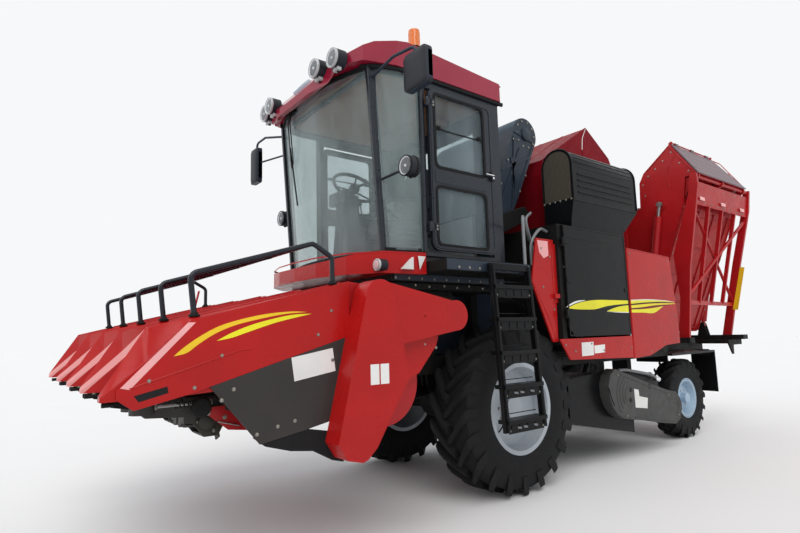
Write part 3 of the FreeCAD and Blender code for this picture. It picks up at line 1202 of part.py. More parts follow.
def main():
    front_tyre, front_rim = front_wheel()
    rear_tyre, rear_rim = rear_wheel()
    left_knuckle = knuckle()
    nodes = {
        "front_tyre_left": front_tyre,
        "front_rim_left": front_rim,
        "front_tyre_right": mirrored(front_tyre),
        "front_rim_right": mirrored(front_rim),
        "rear_tyre_left": rear_tyre,
        "rear_rim_left": rear_rim,
        "rear_tyre_right": mirrored(rear_tyre),
        "rear_rim_right": mirrored(rear_rim),
        "front_axle": front_axle(),
        "rear_axle": rear_axle(),
        "knuckle_left": left_knuckle,
        "knuckle_right": mirrored(left_knuckle),
        "tie_rod": tie_rod(),
        "chassis_frame": chassis_frame(),
        "rear_mudguards": rear_mudguards(),
        "snouts": Part.Compound(snout_list()),
        "crop_bars": crop_bars(),
        "row_units": row_units(),
        "header_frame": header_frame(),
        "feeder_house": feeder_house(),
        "header_side_panels": header_side_panels(),
        "header_lower_panels": header_lower_panels(),
        "drive_cover": drive_cover(),
        "lift_barrels": Part.Compound([lift_cylinder(-LIFT_CYL_Y)[0], lift_cylinder(LIFT_CYL_Y)[0]]),
        "lift_rods": Part.Compound([lift_cylinder(-LIFT_CYL_Y)[1], lift_cylinder(LIFT_CYL_Y)[1]]),
        "shredder_housing": shredder_housing(),
        "shredder_guard": shredder_guard(),
        "shredder_rotor": shredder_rotor(),
        "shredder_barrel": shredder_cylinder()[0],
        "shredder_rod": shredder_cylinder()[1],
        "bin_shell": bin_shell(),
        "bin_lid": bin_lid(),
        "bin_stand": bin_stand(),
        "bin_barrels": Part.Compound([bin_cylinder(x)[0] for x in BIN_CYL_X]),
        "bin_rods": Part.Compound([bin_cylinder(x)[1] for x in BIN_CYL_X]),
        "engine": engine(),
        "engine_bay": engine_bay(),
        "service_door_left": service_door(),
        "service_door_right": mirrored(service_door()),
        "engine_hood": engine_hood(),
        "side_panels": side_panels(),
        "elevator": elevator(),
        "husker_housing": husker_housing(),
        "fender_shields": fender_shields(),
        "cab_shell": cab_shell(),
        "cab_glass": cab_glass(),
        "cab_door_left": cab_door(),
        "cab_door_right": mirrored(cab_door()),
        "door_glass_left": door_glass(),
        "door_glass_right": mirrored(door_glass()),
        "cab_roof": cab_roof(),
        "cab_fairing": cab_fairing(),
        "platform": platform(),
        "ladder": ladder(),
        "handrails": handrails(),
        "mirrors": mirrors(),
        "lamps": lamps(),
        "beacon": beacon(),
        "seat": seat(),
        "steering_console": steering_console(),
    }
    for name, shape in nodes.items():
        shape = shape.copy()
        shape.translate(Vector(FRAME_SHIFT, 0, GROUND_DEPTH))
        shape.exportStep(f"parts/{name}.step")
        print(name, len(shape.Solids), round(shape.Volume / 1e9, 4), shape.isValid())


main()
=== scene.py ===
"""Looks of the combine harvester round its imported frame: finishes, tread, bolts, trim, stripes, seat and studio."""
import math
from contextlib import contextmanager

import bmesh
import bpy
from mathutils import Matrix, Vector


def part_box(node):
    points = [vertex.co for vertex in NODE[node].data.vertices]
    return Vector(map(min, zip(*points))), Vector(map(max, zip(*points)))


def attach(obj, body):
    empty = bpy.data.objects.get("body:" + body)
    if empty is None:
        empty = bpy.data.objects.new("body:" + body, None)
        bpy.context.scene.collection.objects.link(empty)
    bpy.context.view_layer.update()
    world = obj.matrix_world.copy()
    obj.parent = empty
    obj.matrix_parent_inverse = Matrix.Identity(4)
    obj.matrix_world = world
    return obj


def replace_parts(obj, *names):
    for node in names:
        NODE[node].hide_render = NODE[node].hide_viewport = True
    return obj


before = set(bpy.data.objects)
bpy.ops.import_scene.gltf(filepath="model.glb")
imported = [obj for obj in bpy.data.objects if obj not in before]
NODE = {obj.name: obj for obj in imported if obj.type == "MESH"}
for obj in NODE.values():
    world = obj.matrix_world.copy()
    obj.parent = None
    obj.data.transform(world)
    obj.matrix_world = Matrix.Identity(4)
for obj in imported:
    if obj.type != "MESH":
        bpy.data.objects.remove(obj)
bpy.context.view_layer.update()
FRONT_AXLE_Z, REAR_AXLE_Z = 670, 440
REAR_AXLE_X = -3280
low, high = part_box("front_rim_left")
AX = (low.x + high.x) / 2
GROUND = (low.z + high.z) / 2 - FRONT_AXLE_Z / 1000  # height of the ground in row metres
SIDES = (("left", 1), ("right", -1))
UP, AHEAD, BACK = (0, 0, 1), (1, 0, 0), (-1, 0, 0)


def P(x, y, z):
    """Machine millimetres from the front axle to row metres."""
    return Vector((AX + x / 1000, y / 1000, GROUND + z / 1000))


# ------------------------------------------------------------------ materials
class Nodes:
    """Short ways to add and join the nodes of one tree."""

    def __init__(self, tree):
        self.tree = tree

    def add(self, kind, inputs=None, **settings):
        node = self.tree.nodes.new("ShaderNode" + kind)
        for key, value in settings.items():
            setattr(node, key, value)
        for key, value in (inputs or {}).items():
            self.feed(node.inputs[key], value)
        return node

    def feed(self, socket, value):
        if isinstance(value, bpy.types.NodeSocket):
            self.tree.links.new(value, socket)
        else:
            socket.default_value = (*value, 1) if socket.type == "RGBA" and len(value) == 3 else value

    def surface(self, inputs):
        """Set or link inputs of the tree's Principled BSDF."""
        for key, value in inputs.items():
            self.feed(self.tree.nodes["Principled BSDF"].inputs[key], value)

    def place(self):
        """Object coordinates, so that a pattern stays with its piece."""
        return self.add("TexCoord").outputs["Object"]

    def math(self, kind, a, b, clamp=False):
        return self.add("Math", {0: a, 1: b}, operation=kind, use_clamp=clamp).outputs[0]

    def noise(self, scale, detail=4, rough=0.55, stretch=None):
        at = self.place()
        if stretch:
            at = self.add("Mapping", {"Vector": at, "Scale": stretch}).outputs["Vector"]
        inputs = {"Vector": at, "Scale": scale, "Detail": detail, "Roughness": rough}
        return self.add("TexNoise", inputs).outputs["Fac"]

    def mix(self, fac, a, b):
        return self.add("Mix", {0: fac, 6: a, 7: b}, data_type="RGBA").outputs[2]

    def spread(self, value, low, high, to_low=0, to_high=1):
        inputs = {"Value": value, "From Min": low, "From Max": high, "To Min": to_low, "To Max": to_high}
        return self.add("MapRange", inputs).outputs["Result"]

    def bump(self, height, strength, distance):
        node = self.add("Bump", {"Strength": strength, "Distance": distance, "Height": height})
        self.surface({"Normal": node.outputs["Normal"]})

    def blend(self, share, first, second, out):
        node = self.add("MixShader", {0: share, 1: first.outputs[0], 2: second.outputs[0]})
        self.tree.links.new(node.outputs[0], out.inputs["Surface"])

    def dust(self, amount):
        """More dust low down and on surfaces that face up, broken up by noise."""
        height = self.add("SeparateXYZ", {"Vector": self.place()}).outputs["Z"]
        normal = self.add("NewGeometry").outputs["Normal"]
        up = self.add("SeparateXYZ", {"Vector": normal}).outputs["Z"]
        settled = self.math("MULTIPLY", self.spread(height, 0.1, 2.2, 1.0, 0.18), self.spread(up, 0.2, 1.0, 0.35, 1.0))
        patch = self.spread(self.noise(7.0, 6, 0.65), 0.35, 0.75, 0.15, 1.0)
        fine = self.spread(self.noise(90.0, 2), 0.3, 0.7, 0.6, 1.0)
        broken = self.math("MULTIPLY", settled, self.math("MULTIPLY", patch, fine))
        return self.math("MULTIPLY", broken, amount, clamp=True)


def new_material(name):
    material = bpy.data.materials.new(name)
    material.use_nodes = True
    return material, Nodes(material.node_tree)


def shade(rgb, factor):
    return tuple(min(1, c * factor) for c in rgb)


def painted(name, rgb, rough=0.3, coat=0.1, dust=0.2, metallic=0.0, vary=0.12, waves=0.15, shine=0.25):
    """Sprayed sheet steel: colour drift, orange peel, slight sheet waviness and settled dust."""
    m, t = new_material(name)
    base = t.mix(t.spread(t.noise(2.3, 5), 0.3, 0.7), shade(rgb, 1 - vary), shade(rgb, 1 + vary))
    amount = t.dust(dust)
    drift = t.spread(t.noise(14.0), 0.3, 0.7, rough * 0.8, rough * 1.25)
    t.surface({"Base Color": t.mix(amount, base, (0.2, 0.15, 0.11)), "Metallic": metallic,
           "Roughness": t.math("ADD", drift, t.math("MULTIPLY", amount, 0.5), clamp=True),
           "Specular IOR Level": shine, "Coat Weight": coat, "Coat Roughness": 0.12})
    peel = t.math("ADD", t.math("MULTIPLY", t.noise(420.0, 1), 0.12), t.noise(3.1, 2))
    t.bump(peel, waves, 0.006)
    return m


def rubber(name, rgb=(0.0075, 0.008, 0.009), dust=0.14):
    m, t = new_material(name)
    base = t.mix(t.spread(t.noise(30.0, 5), 0.35, 0.7), rgb, tuple(c * 1.4 for c in rgb))
    t.surface({"Base Color": t.mix(t.dust(dust), base, (0.09, 0.07, 0.055)), "Roughness": 0.75,
           "Specular IOR Level": 0.2})
    t.bump(t.noise(260.0, 3), 0.25, 0.001)
    return m


def metal(name, rgb, rough, scale=60.0, wear=0.25):
    m, t = new_material(name)
    scratch = t.spread(t.noise(scale, 3, 0.6, (1, 8, 1)), 0.35, 0.7)
    t.surface({"Base Color": t.mix(scratch, rgb, shade(rgb, 1 - wear)), "Metallic": 1.0,
           "Roughness": t.spread(t.noise(scale * 0.4), 0.3, 0.7, rough * 0.7, rough * 1.4)})
    return m


def plastic(name, rgb, rough=0.5, dust=0.25):
    m, t = new_material(name)
    base = t.mix(t.noise(5.0), shade(rgb, 0.85), shade(rgb, 1.15))
    t.surface({"Base Color": t.mix(t.dust(dust), base, (0.3, 0.25, 0.2)), "Roughness": rough,
           "Specular IOR Level": 0.25})
    t.bump(t.noise(500.0, 2), 0.25, 0.001)
    return m


def clear(name, rgb, rough=0.02, body=(0.42, 0.51, 0.55), haze_and_sheen=0.16):
    """Glazing: tinted and see-through, with a reflection that grows at grazing angles and faint streaks. The streaks
    and the grazing share mix in the pale body colour, which is painted sheen; on the lamp lenses it is a painted glint.
    """
    m, t = new_material(name)
    t.surface({"Base Color": body, "Roughness": rough, "IOR": 1.45})
    see = t.add("BsdfTransparent", {"Color": rgb})
    streak_and_sheen = t.spread(t.noise(3.0, 5, 0.6, (1, 1, 0.35)), 0.35, 0.75, haze_and_sheen * 0.5, haze_and_sheen * 1.5)
    facing = t.add("LayerWeight", {"Blend": 0.5}).outputs["Facing"]
    grazing = t.math("MULTIPLY", t.math("POWER", facing, 4.0), 0.4)
    nodes = t.tree.nodes
    t.blend(t.math("ADD", streak_and_sheen, grazing, clamp=True), see, nodes["Principled BSDF"], nodes["Material Output"])
    return m


def cloth(name, rgb=(0.035, 0.036, 0.04), threads=70.0):
    """Woven seat cloth: crossed threads at a fine scale with a soft sheen."""
    m, t = new_material(name)
    at = t.place()
    warp, weft = [t.add("TexWave", {"Vector": at, "Scale": threads, "Distortion": 0.6}, bands_direction=axis)
                  for axis in ("X", "Y")]
    weave = t.math("MULTIPLY", warp.outputs["Fac"], weft.outputs["Fac"])
    t.surface({"Base Color": t.mix(weave, rgb, shade(rgb, 2.2)), "Roughness": 0.85, "Sheen Weight": 0.3})
    t.bump(weave, 0.4, 0.0008)
    return m


def perforated(name, rgb, pitch, size):
    """Sheet with a regular field of round holes, painted near-black as painted shade for the space seen through them.
    """
    m, t = new_material(name)
    cells = t.add("TexVoronoi", {"Vector": t.place(), "Scale": 1 / pitch, "Randomness": 0.0})
    inside = t.math("LESS_THAN", cells.outputs["Distance"], size)
    base = t.mix(t.noise(4.0), shade(rgb, 0.8), rgb)
    t.surface({"Base Color": t.mix(inside, base, (0.01, 0.01, 0.012)), "Roughness": 0.4, "Specular IOR Level": 0.2})
    t.bump(t.math("SUBTRACT", 1, inside), 0.6, 0.002)
    return m


def glowing(name, rgb):
    """Ribbed coloured lens."""
    m, t = new_material(name)
    t.surface({"Base Color": t.mix(t.noise(40.0), rgb, shade(rgb, 1.3)), "Roughness": 0.15,
           "Transmission Weight": 0.25, "Coat Weight": 0.6})
    return m


def masked(material, rgb, limits):
    """Paint rgb where each sum of object coordinates, named by its axes, is between its limits in metres."""
    t = Nodes(material.node_tree)
    part = t.add("SeparateXYZ", {"Vector": t.place()}).outputs
    inside = None
    for axes, least, most in limits:
        total = part[axes[0]] if len(axes) == 1 else t.math("ADD", part[axes[0]], part[axes[1]])
        for kind, edge in (("GREATER_THAN", least), ("LESS_THAN", most)):
            if edge is not None:
                test = t.math(kind, total, edge)
                inside = test if inside is None else t.math("MULTIPLY", inside, test)
    was = t.tree.nodes["Principled BSDF"].inputs["Base Color"].links[0].from_socket
    t.surface({"Base Color": t.mix(inside, was, rgb)})
    return material


BODY_RED = {"rgb": (0.42, 0.008, 0.008), "dust": 0.1, "shine": 0.2, "coat": 0.06}
PLATE_WHITE = (0.78, 0.78, 0.76)
RED = painted("red_paint", **BODY_RED)
CRIMSON = painted("roof_paint", (0.3, 0.01, 0.035), rough=0.22, coat=0.3, shine=0.3)
HUSKER_RED = painted("husker_paint", (0.2, 0.004, 0.01), rough=0.45, coat=0.0, dust=0.0, shine=0.08)
DEEP_RED = painted("bin_paint", (0.4, 0.008, 0.011), rough=0.38)
PINK_RED = painted("stand_sheet_paint", (0.44, 0.03, 0.03), rough=0.5, dust=0.5)
BLACK = painted("black_paint", (0.005, 0.0055, 0.0065), rough=0.34, coat=0.05, dust=0.05, shine=0.12)
CHARCOAL = painted("charcoal_paint", (0.032, 0.03, 0.029), rough=0.5, coat=0.0, dust=0.25)
GUARD_GREY = painted("guard_paint", (0.05, 0.053, 0.052), rough=0.5, coat=0.0, dust=0.3)
SLATE = painted("elevator_paint", (0.02, 0.03, 0.046), rough=0.4, coat=0.05, dust=0.15)
FRAME_BLACK = painted("frame_paint", (0.009, 0.009, 0.009), rough=0.55, coat=0.0, dust=0.2, shine=0.12)
CAB_GREY = painted("cab_frame_paint", (0.015, 0.02, 0.028), coat=0.15, dust=0.06)
TUBE = painted("hoop_paint", (0.006, 0.009, 0.015), rough=0.25, coat=0.2, dust=0.06)
SILVER = painted("rim_silver", (0.4, 0.44, 0.48), rough=0.4, dust=0.25, metallic=0.2)
PALE = painted("rim_pale", (0.36, 0.48, 0.6), rough=0.45, dust=0.3, metallic=0.1)
GREY_TUBE = painted("rail_paint", (0.2, 0.21, 0.22), rough=0.4, dust=0.25, metallic=0.2)
YELLOW = painted("stripe_yellow", (0.83, 0.55, 0.02), rough=0.35, dust=0.1)
LEMON = painted("stripe_lemon", (0.8, 0.74, 0.02), rough=0.35, dust=0.1)
WHITE = painted("stripe_white", PLATE_WHITE, rough=0.4, dust=0.12)
TAPE = painted("tape_pink", (0.84, 0.4, 0.4), rough=0.35, dust=0.15)
# black paint for stripes, marks and controls; in the header's slots it is painted shade
INK_AND_SHADE = painted("stripe_black_and_shade", (0.006, 0.006, 0.007), rough=0.4, coat=0.05, dust=0.06, shine=0.2)
# a pale band that climbs the snouts' cheeks and leaves the outer side panel alone
SNOUT_RED = masked(painted("snout_paint", **BODY_RED), (0.72, 0.3, 0.29),
                   [("XZ", AX + GROUND + 4.226, AX + GROUND + 4.27), ("Z", None, GROUND + 1.4), ("Y", None, 1.0)])
COVER_RED = painted("cover_paint", **BODY_RED)
# two blank plates side by side on the cover's outer face
for x in (1.684, 1.756):
    masked(COVER_RED, PLATE_WHITE, [("X", AX + x, AX + x + 0.062), ("Z", GROUND + 1.03, GROUND + 1.148),
                                    ("Y", 1.396, None)])
RUBBER = rubber("tyre_rubber")
SEAL = rubber("seal_rubber", (0.008, 0.008, 0.009), dust=0.08)
PALE_TRIM = painted("pale_trim", (0.45, 0.52, 0.6), rough=0.25, coat=0.3, dust=0.05)
STEEL = metal("bare_steel", (0.35, 0.34, 0.33), 0.45)
# the reflector bowls and the lamp cases are pale grey paint in place of chrome: painted reflection that makes them read
# bright
BOWL = painted("lamp_bowl", (0.74, 0.75, 0.76), rough=0.2, coat=0.3, dust=0.0, vary=0.3, waves=0.4, shine=0.5)
LAMP_CASE = painted("lamp_case", (0.5, 0.51, 0.52), rough=0.25, coat=0.3, dust=0.0, shine=0.5)
ZINC = metal("zinc_bolt", (0.32, 0.31, 0.27), 0.45)
CHROME = metal("chrome", (0.85, 0.86, 0.87), 0.08, 30.0, 0.05)
GLASS = clear("window_glass", (0.84, 0.88, 0.89))
WINDSCREEN = clear("windscreen_glass", (0.86, 0.9, 0.9), body=(0.45, 0.54, 0.55), haze_and_sheen=0.22)
# the lens's pale body and haze paint a bright glint over the lamp face: painted reflection
LENS = clear("lamp_lens", (0.97, 0.99, 1.0), 0.08, (0.8, 0.83, 0.86), 0.22)
MIRROR = metal("mirror_glass", (0.75, 0.78, 0.8), 0.03, 20.0, 0.02)
AMBER = glowing("amber_lens", (0.95, 0.2, 0.01))
PLASTIC = plastic("dark_plastic", (0.014, 0.017, 0.023), dust=0.1)
OLIVE = painted("bracket_paint", (0.028, 0.027, 0.02), rough=0.5, coat=0.0, dust=0.3)
MIRROR_SHELL = plastic("mirror_shell", (0.022, 0.03, 0.047), 0.45, dust=0.05)
LINING = plastic("roof_lining", (0.4, 0.17, 0.07), 0.8)
BEIGE = plastic("cab_trim", (0.36, 0.38, 0.37), 0.6)
SEAT_CLOTH = cloth("seat_cloth")
MESH_BIN = perforated("mesh_bin", (0.2, 0.13, 0.15), 0.03, 0.33)
MESH_HOOD = perforated("mesh_hood", (0.1, 0.085, 0.065), 0.014, 0.3)
# paler and bluer than the elevator's slate: painted sky light on the head's upper sheet
HEAD_GRIT_AND_SKYLIGHT = painted("elevator_head_paint", (0.04, 0.068, 0.1), rough=0.5, waves=0.8)
TAIL_RED = glowing("tail_red", (0.6, 0.01, 0.008))


# ------------------------------------------------------------------ mesh tools
def circle(centre, axis, u, radius, sides, along=0):
    """Points round an axis through centre, starting towards u: radius and distance along the axis in mm."""
    w, turn = axis.cross(u), [2 * math.pi * k / sides for k in range(sides)]
    return [centre + (u * math.cos(t) + w * math.sin(t)) * radius / 1000 + axis * along / 1000 for t in turn]


def polar(x, z, radius, angle):
    """Point at an angle in radians round (x, z)."""
    return x + radius * math.cos(angle), z + radius * math.sin(angle)


def spaced(x, z, radius, count, offset=0):
    """Points at even steps round (x, z); the offset is a share of one step."""
    return [polar(x, z, radius, 2 * math.pi * (k + offset) / count) for k in range(count)]


def arc(x, z, radius, start, end, steps):
    """Points along an arc round (x, z), from one angle in degrees to another."""
    return [polar(x, z, radius, math.radians(start + (end - start) * k / steps)) for k in range(steps + 1)]


def rect(x, z, r=0, steps=4):
    """Rectangle between two x and two z, with its corners rounded when r is given."""
    corners = [(x[0], z[0]), (x[1], z[0]), (x[1], z[1]), (x[0], z[1])]
    return rounded(corners, r, steps) if r else corners


def grown(span, by):
    """A (low, high) span made longer at both ends."""
    return span[0] - by, span[1] + by


def mirrored(line):
    """A line of (x, y), then the same line back on the other side."""
    return line + [(x, -y) for x, y in line[::-1] if y]


def rounded(points, radius, steps=4):
    """Polygon with its corners rounded."""
    out = []
    for i in range(len(points)):
        a, b, c = Vector(points[i - 1]), Vector(points[i]), Vector(points[(i + 1) % len(points)])
        p, q = b + (a - b).normalized() * radius, b + (c - b).normalized() * radius
        for k in range(steps + 1):
            t = k / steps
            out.append(tuple(p * (1 - t) ** 2 + b * 2 * t * (1 - t) + q * t * t))
    return out


def curve(points, steps=6):
    """Smooth line through points (Catmull-Rom), as tuples."""
    pts = [Vector(p) for p in points]
    pts = [pts[0] * 2 - pts[1]] + pts + [pts[-1] * 2 - pts[-2]]
    out = []
    for a, b, c, d in zip(pts, pts[1:], pts[2:], pts[3:]):
        for k in range(steps):
            t = k / steps
            out.append(0.5 * (2 * b + (c - a) * t + (2 * a - 5 * b + 4 * c - d) * t * t
                              + (3 * b - a - 3 * c + d) * t * t * t))
    return [tuple(v) for v in out + [pts[-2]]]


def placed(plane, a, b, c):
    """Point of a drawing in plane xz, yz or xy, at c along the third axis."""
    return P(*{"xz": (a, c, b), "yz": (c, a, b), "xy": (a, b, c)}[plane])


class Batch:
    """Collects small solids of one finish on one body into one mesh object."""

    def __init__(self, name, body, material, slot=None):
        self.name, self.body, self.material, self.slot_name = name, body, material, slot
        self.bm = bmesh.new()

    def skin(self, verts, faces):
        made = [self.bm.verts.new(v) for v in verts]
        for f in faces:
            try:
                self.bm.faces.new([made[i] for i in f])
            except ValueError:
                pass

    def loft(self, rings, caps=True):
        """Skin through rings of equally many points."""
        n, last = len(rings[0]), len(rings) - 1
        faces = [(r * n + i, r * n + (i + 1) % n, (r + 1) * n + (i + 1) % n, (r + 1) * n + i)
                 for r in range(last) for i in range(n)]
        if caps:
            faces += [tuple(range(n))[::-1], tuple(last * n + i for i in range(n))]
        self.skin([v for ring in rings for v in ring], faces)

    def prism(self, points, plane, low, high):
        """Outline in plane xz, yz or xy (machine mm), from low to high along the third axis."""
        self.loft([[placed(plane, a, b, c) for a, b in points] for c in (low, high)])

    def ring(self, outer, inner, plane, low, high):
        """Flat frame between two outlines with the same number of points."""
        pairs = list(zip(outer + outer[:1], inner + inner[:1]))
        self.loft([[placed(plane, *o, low), placed(plane, *q, low), placed(plane, *q, high), placed(plane, *o, high)]
                   for o, q in pairs], caps=False)

    def box(self, x, y, z):
        self.prism(rect(x, y), "xy", *z)

    def rod(self, start, end, radius, end_radius=None, sides=12):
        a, b = P(*start), P(*end)
        axis = (b - a).normalized()
        u = axis.orthogonal().normalized()
        self.loft([circle(a, axis, u, radius, sides),
                   circle(b, axis, u, radius if end_radius is None else end_radius, sides)])

    def bar(self, start, end, wide, high, up=UP):
        a, b = P(*start), P(*end)
        axis = (b - a).normalized()
        side = axis.cross(Vector(up)).normalized() * wide / 2000
        lift = side.cross(axis).normalized() * high / 2000
        self.loft([[c - side - lift, c + side - lift, c + side + lift, c - side + lift] for c in (a, b)])

    def turned(self, profile, centre, axis, sides=32, closed=False):
        """Profile of (radius, along) pairs in mm, turned about axis through centre."""
        n = Vector(axis).normalized()
        u = n.orthogonal().normalized()
        lines = zip(*[circle(P(*centre), n, u, r, sides, h) for r, h in profile])
        count = len(profile)
        faces = []
        for k in range(sides):
            here, after = k * count, (k + 1) % sides * count
            for i in range(count if closed else count - 1):
                j = (i + 1) % count
                faces.append((here + i, after + i, after + j, here + j))
        self.skin([v for line in lines for v in line], faces)

    def bolt(self, at, normal, size=9, height=6, washer=True):
        """Hexagon head on a washer, standing on a surface."""
        n = Vector(normal).normalized()
        u = n.orthogonal().normalized()
        head = [(size, 1), (size, height * 0.8), (size * 0.8, height)]
        if washer:
            self.loft([circle(P(*at), n, u, size * 1.35, 12, h) for h in (0, 1.5)])
        self.loft([circle(P(*at), n, u, r, 6, h) for r, h in head])

    def bolts(self, places, normal, size, height, washer=True):
        for at in places:
            self.bolt(at, normal, size, height, washer)

    def tube(self, points, radius, sides=10, closed=False):
        """Round tube through points, with joints mitred."""
        pts = [P(*p) for p in points]
        rings, last = [], None
        for i, p in enumerate(pts):
            d = Vector((0, 0, 0))
            if i or closed:
                d += (p - pts[i - 1]).normalized()
            if i < len(pts) - 1 or closed:
                d += (pts[(i + 1) % len(pts)] - p).normalized()
            d.normalize()
            last = (d.orthogonal() if last is None else last - d * last.dot(d)).normalized()
            r = radius[i] if isinstance(radius, list) else radius
            rings.append(circle(p, d, last, r, sides))
        self.loft(rings + rings[:1] if closed else rings, caps=not closed)

    def strip(self, path, other, normal, thick):
        """Thin ribbon between two lines of points, standing thick above them along normal."""
        n = Vector(normal) * thick / 1000
        self.loft([[P(*a), P(*b), P(*b) + n, P(*a) + n] for a, b in zip(path, other)])

    def done(self, smooth=30, bevel=0, segments=2):
        bmesh.ops.remove_doubles(self.bm, verts=self.bm.verts, dist=1e-6)
        bmesh.ops.recalc_face_normals(self.bm, faces=self.bm.faces)
        me = bpy.data.meshes.new(self.name)
        self.bm.to_mesh(me)
        self.bm.free()
        ob = in_scene(self.name, me)
        me.materials.append(self.material)
        if smooth:
            me.shade_smooth()
            me.set_sharp_from_angle(angle=math.radians(smooth))
        if bevel:
            soften(ob, bevel, segments, 35)
        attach(ob, self.body)
        return ob


def in_scene(name, data):
    ob = bpy.data.objects.new(name, data)
    bpy.context.scene.collection.objects.link(ob)
    return ob


def soften(ob, width, segments, angle):
    """Bevel, width in mm, on every edge sharper than the angle."""
    edge = ob.modifiers.new("edge", "BEVEL")
    edge.width = width / 1000
    edge.segments = segments
    edge.limit_method = "ANGLE"
    edge.angle_limit = math.radians(angle)


@contextmanager
def piece(name, material, slot=None, body="chassis", **finish):
    """A batch that is made into its object when the block ends."""
    batch = Batch(name, body, material, slot)
    yield batch
    batch.done(**finish)


def bolt_set(name, body, *groups):
    """Zinc bolts: each group is its places, normal, size, height and whether it has washers."""
    with piece(name, ZINC, "bare_steel", body) as b:
        for group in groups:
            b.bolts(*group)


def marks(name, material, body, plane, *shapes):
    """Painted or taped shapes: each is an outline and the two levels that it lies between."""
    with piece(name, material, None, body, smooth=0) as b:
        for shape in shapes:
            b.prism(shape[0], plane, *shape[1:])


def on_side(y, pairs):
    """Places on a side face, from pairs of x and z."""
    return [(x, y, z) for x, z in pairs]


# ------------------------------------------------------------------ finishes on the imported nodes
FINISH = (
    (SILVER, "front_rim_left front_rim_right"), (PALE, "rear_rim_left rear_rim_right"), (TUBE, "crop_bars"),
    (FRAME_BLACK, "front_axle rear_axle knuckle_left knuckle_right tie_rod chassis_frame shredder_rotor "
                  "engine_bay platform"),
    (BLACK, "rear_mudguards feeder_house lift_barrels shredder_housing shredder_barrel service_door_left "
            "service_door_right engine_hood ladder"),
    (CHARCOAL, "row_units header_lower_panels engine"), (DEEP_RED, "header_frame bin_shell bin_stand bin_barrels"),
    (RED, "header_side_panels side_panels fender_shields cab_fairing"), (STEEL, "lift_rods shredder_rod bin_rods"),
    (SNOUT_RED, "snouts"), (COVER_RED, "drive_cover"), (GUARD_GREY, "shredder_guard"), (MESH_BIN, "bin_lid"),
    (SLATE, "elevator"), (HUSKER_RED, "husker_housing"), (CAB_GREY, "cab_shell cab_door_left cab_door_right"),
    (WINDSCREEN, "cab_glass"), (GLASS, "door_glass_left door_glass_right"), (CRIMSON, "cab_roof"),
    (GREY_TUBE, "handrails"), (MIRROR_SHELL, "mirrors"), (PLASTIC, "lamps steering_console"), (AMBER, "beacon"),
)
# bevel widths in mm; the other nodes keep their edges
EDGES = {"snouts": 4, "drive_cover": 10, "header_side_panels": 3, "header_lower_panels": 3, "engine_hood": 10,
         "side_panels": 6, "fender_shields": 6, "service_door_left": 4, "cab_door_left": 6, "cab_door_right": 6,
         "cab_shell": 6, "bin_shell": 4, "husker_housing": 12, "elevator": 6, "shredder_guard": 8,
         "chassis_frame": 4, "platform": 4, "ladder": 2}
for material, names in FINISH:
    for name in names.split():
        ob = NODE[name]
        if not ob.material_slots:
            ob.data.materials.append(material)
        for s in ob.material_slots:
            s.material = material
for name, width in EDGES.items():
    NODE[name].modifiers.new("weld", "WELD").merge_threshold = 0.0002
    soften(NODE[name], width, 3, 32)


def smooth_by_angle(limit):
    """Geometry Nodes group that shades smoothly across every edge flatter than the limit, in degrees."""
    group = bpy.data.node_groups.new("smooth_by_angle", "GeometryNodeTree")
    for way in ("INPUT", "OUTPUT"):
        group.interface.new_socket("Geometry", in_out=way, socket_type="NodeSocketGeometry")
    start, end, angle, flat, faces, edges = [group.nodes.new(kind) for kind in (
        "NodeGroupInput", "NodeGroupOutput", "GeometryNodeInputMeshEdgeAngle", "FunctionNodeCompare",
        "GeometryNodeSetShadeSmooth", "GeometryNodeSetShadeSmooth")]
    flat.operation = "LESS_THAN"
    flat.inputs["B"].default_value = math.radians(limit)
    faces.domain, edges.domain = "FACE", "EDGE"
    for a, out, b, into in ((angle, "Unsigned Angle", flat, "A"), (flat, "Result", edges, "Shade Smooth"),
                            (start, "Geometry", faces, "Geometry"), (faces, "Geometry", edges, "Geometry"),
                            (edges, "Geometry", end, "Geometry")):
        group.links.new(a.outputs[out], b.inputs[into])
    return group


SMOOTH = smooth_by_angle(38)
for name in ("cab_roof", "cab_fairing"):
    soften(NODE[name], 30, 4, 50)
    NODE[name].modifiers.new("smooth", "NODES").node_group = SMOOTH


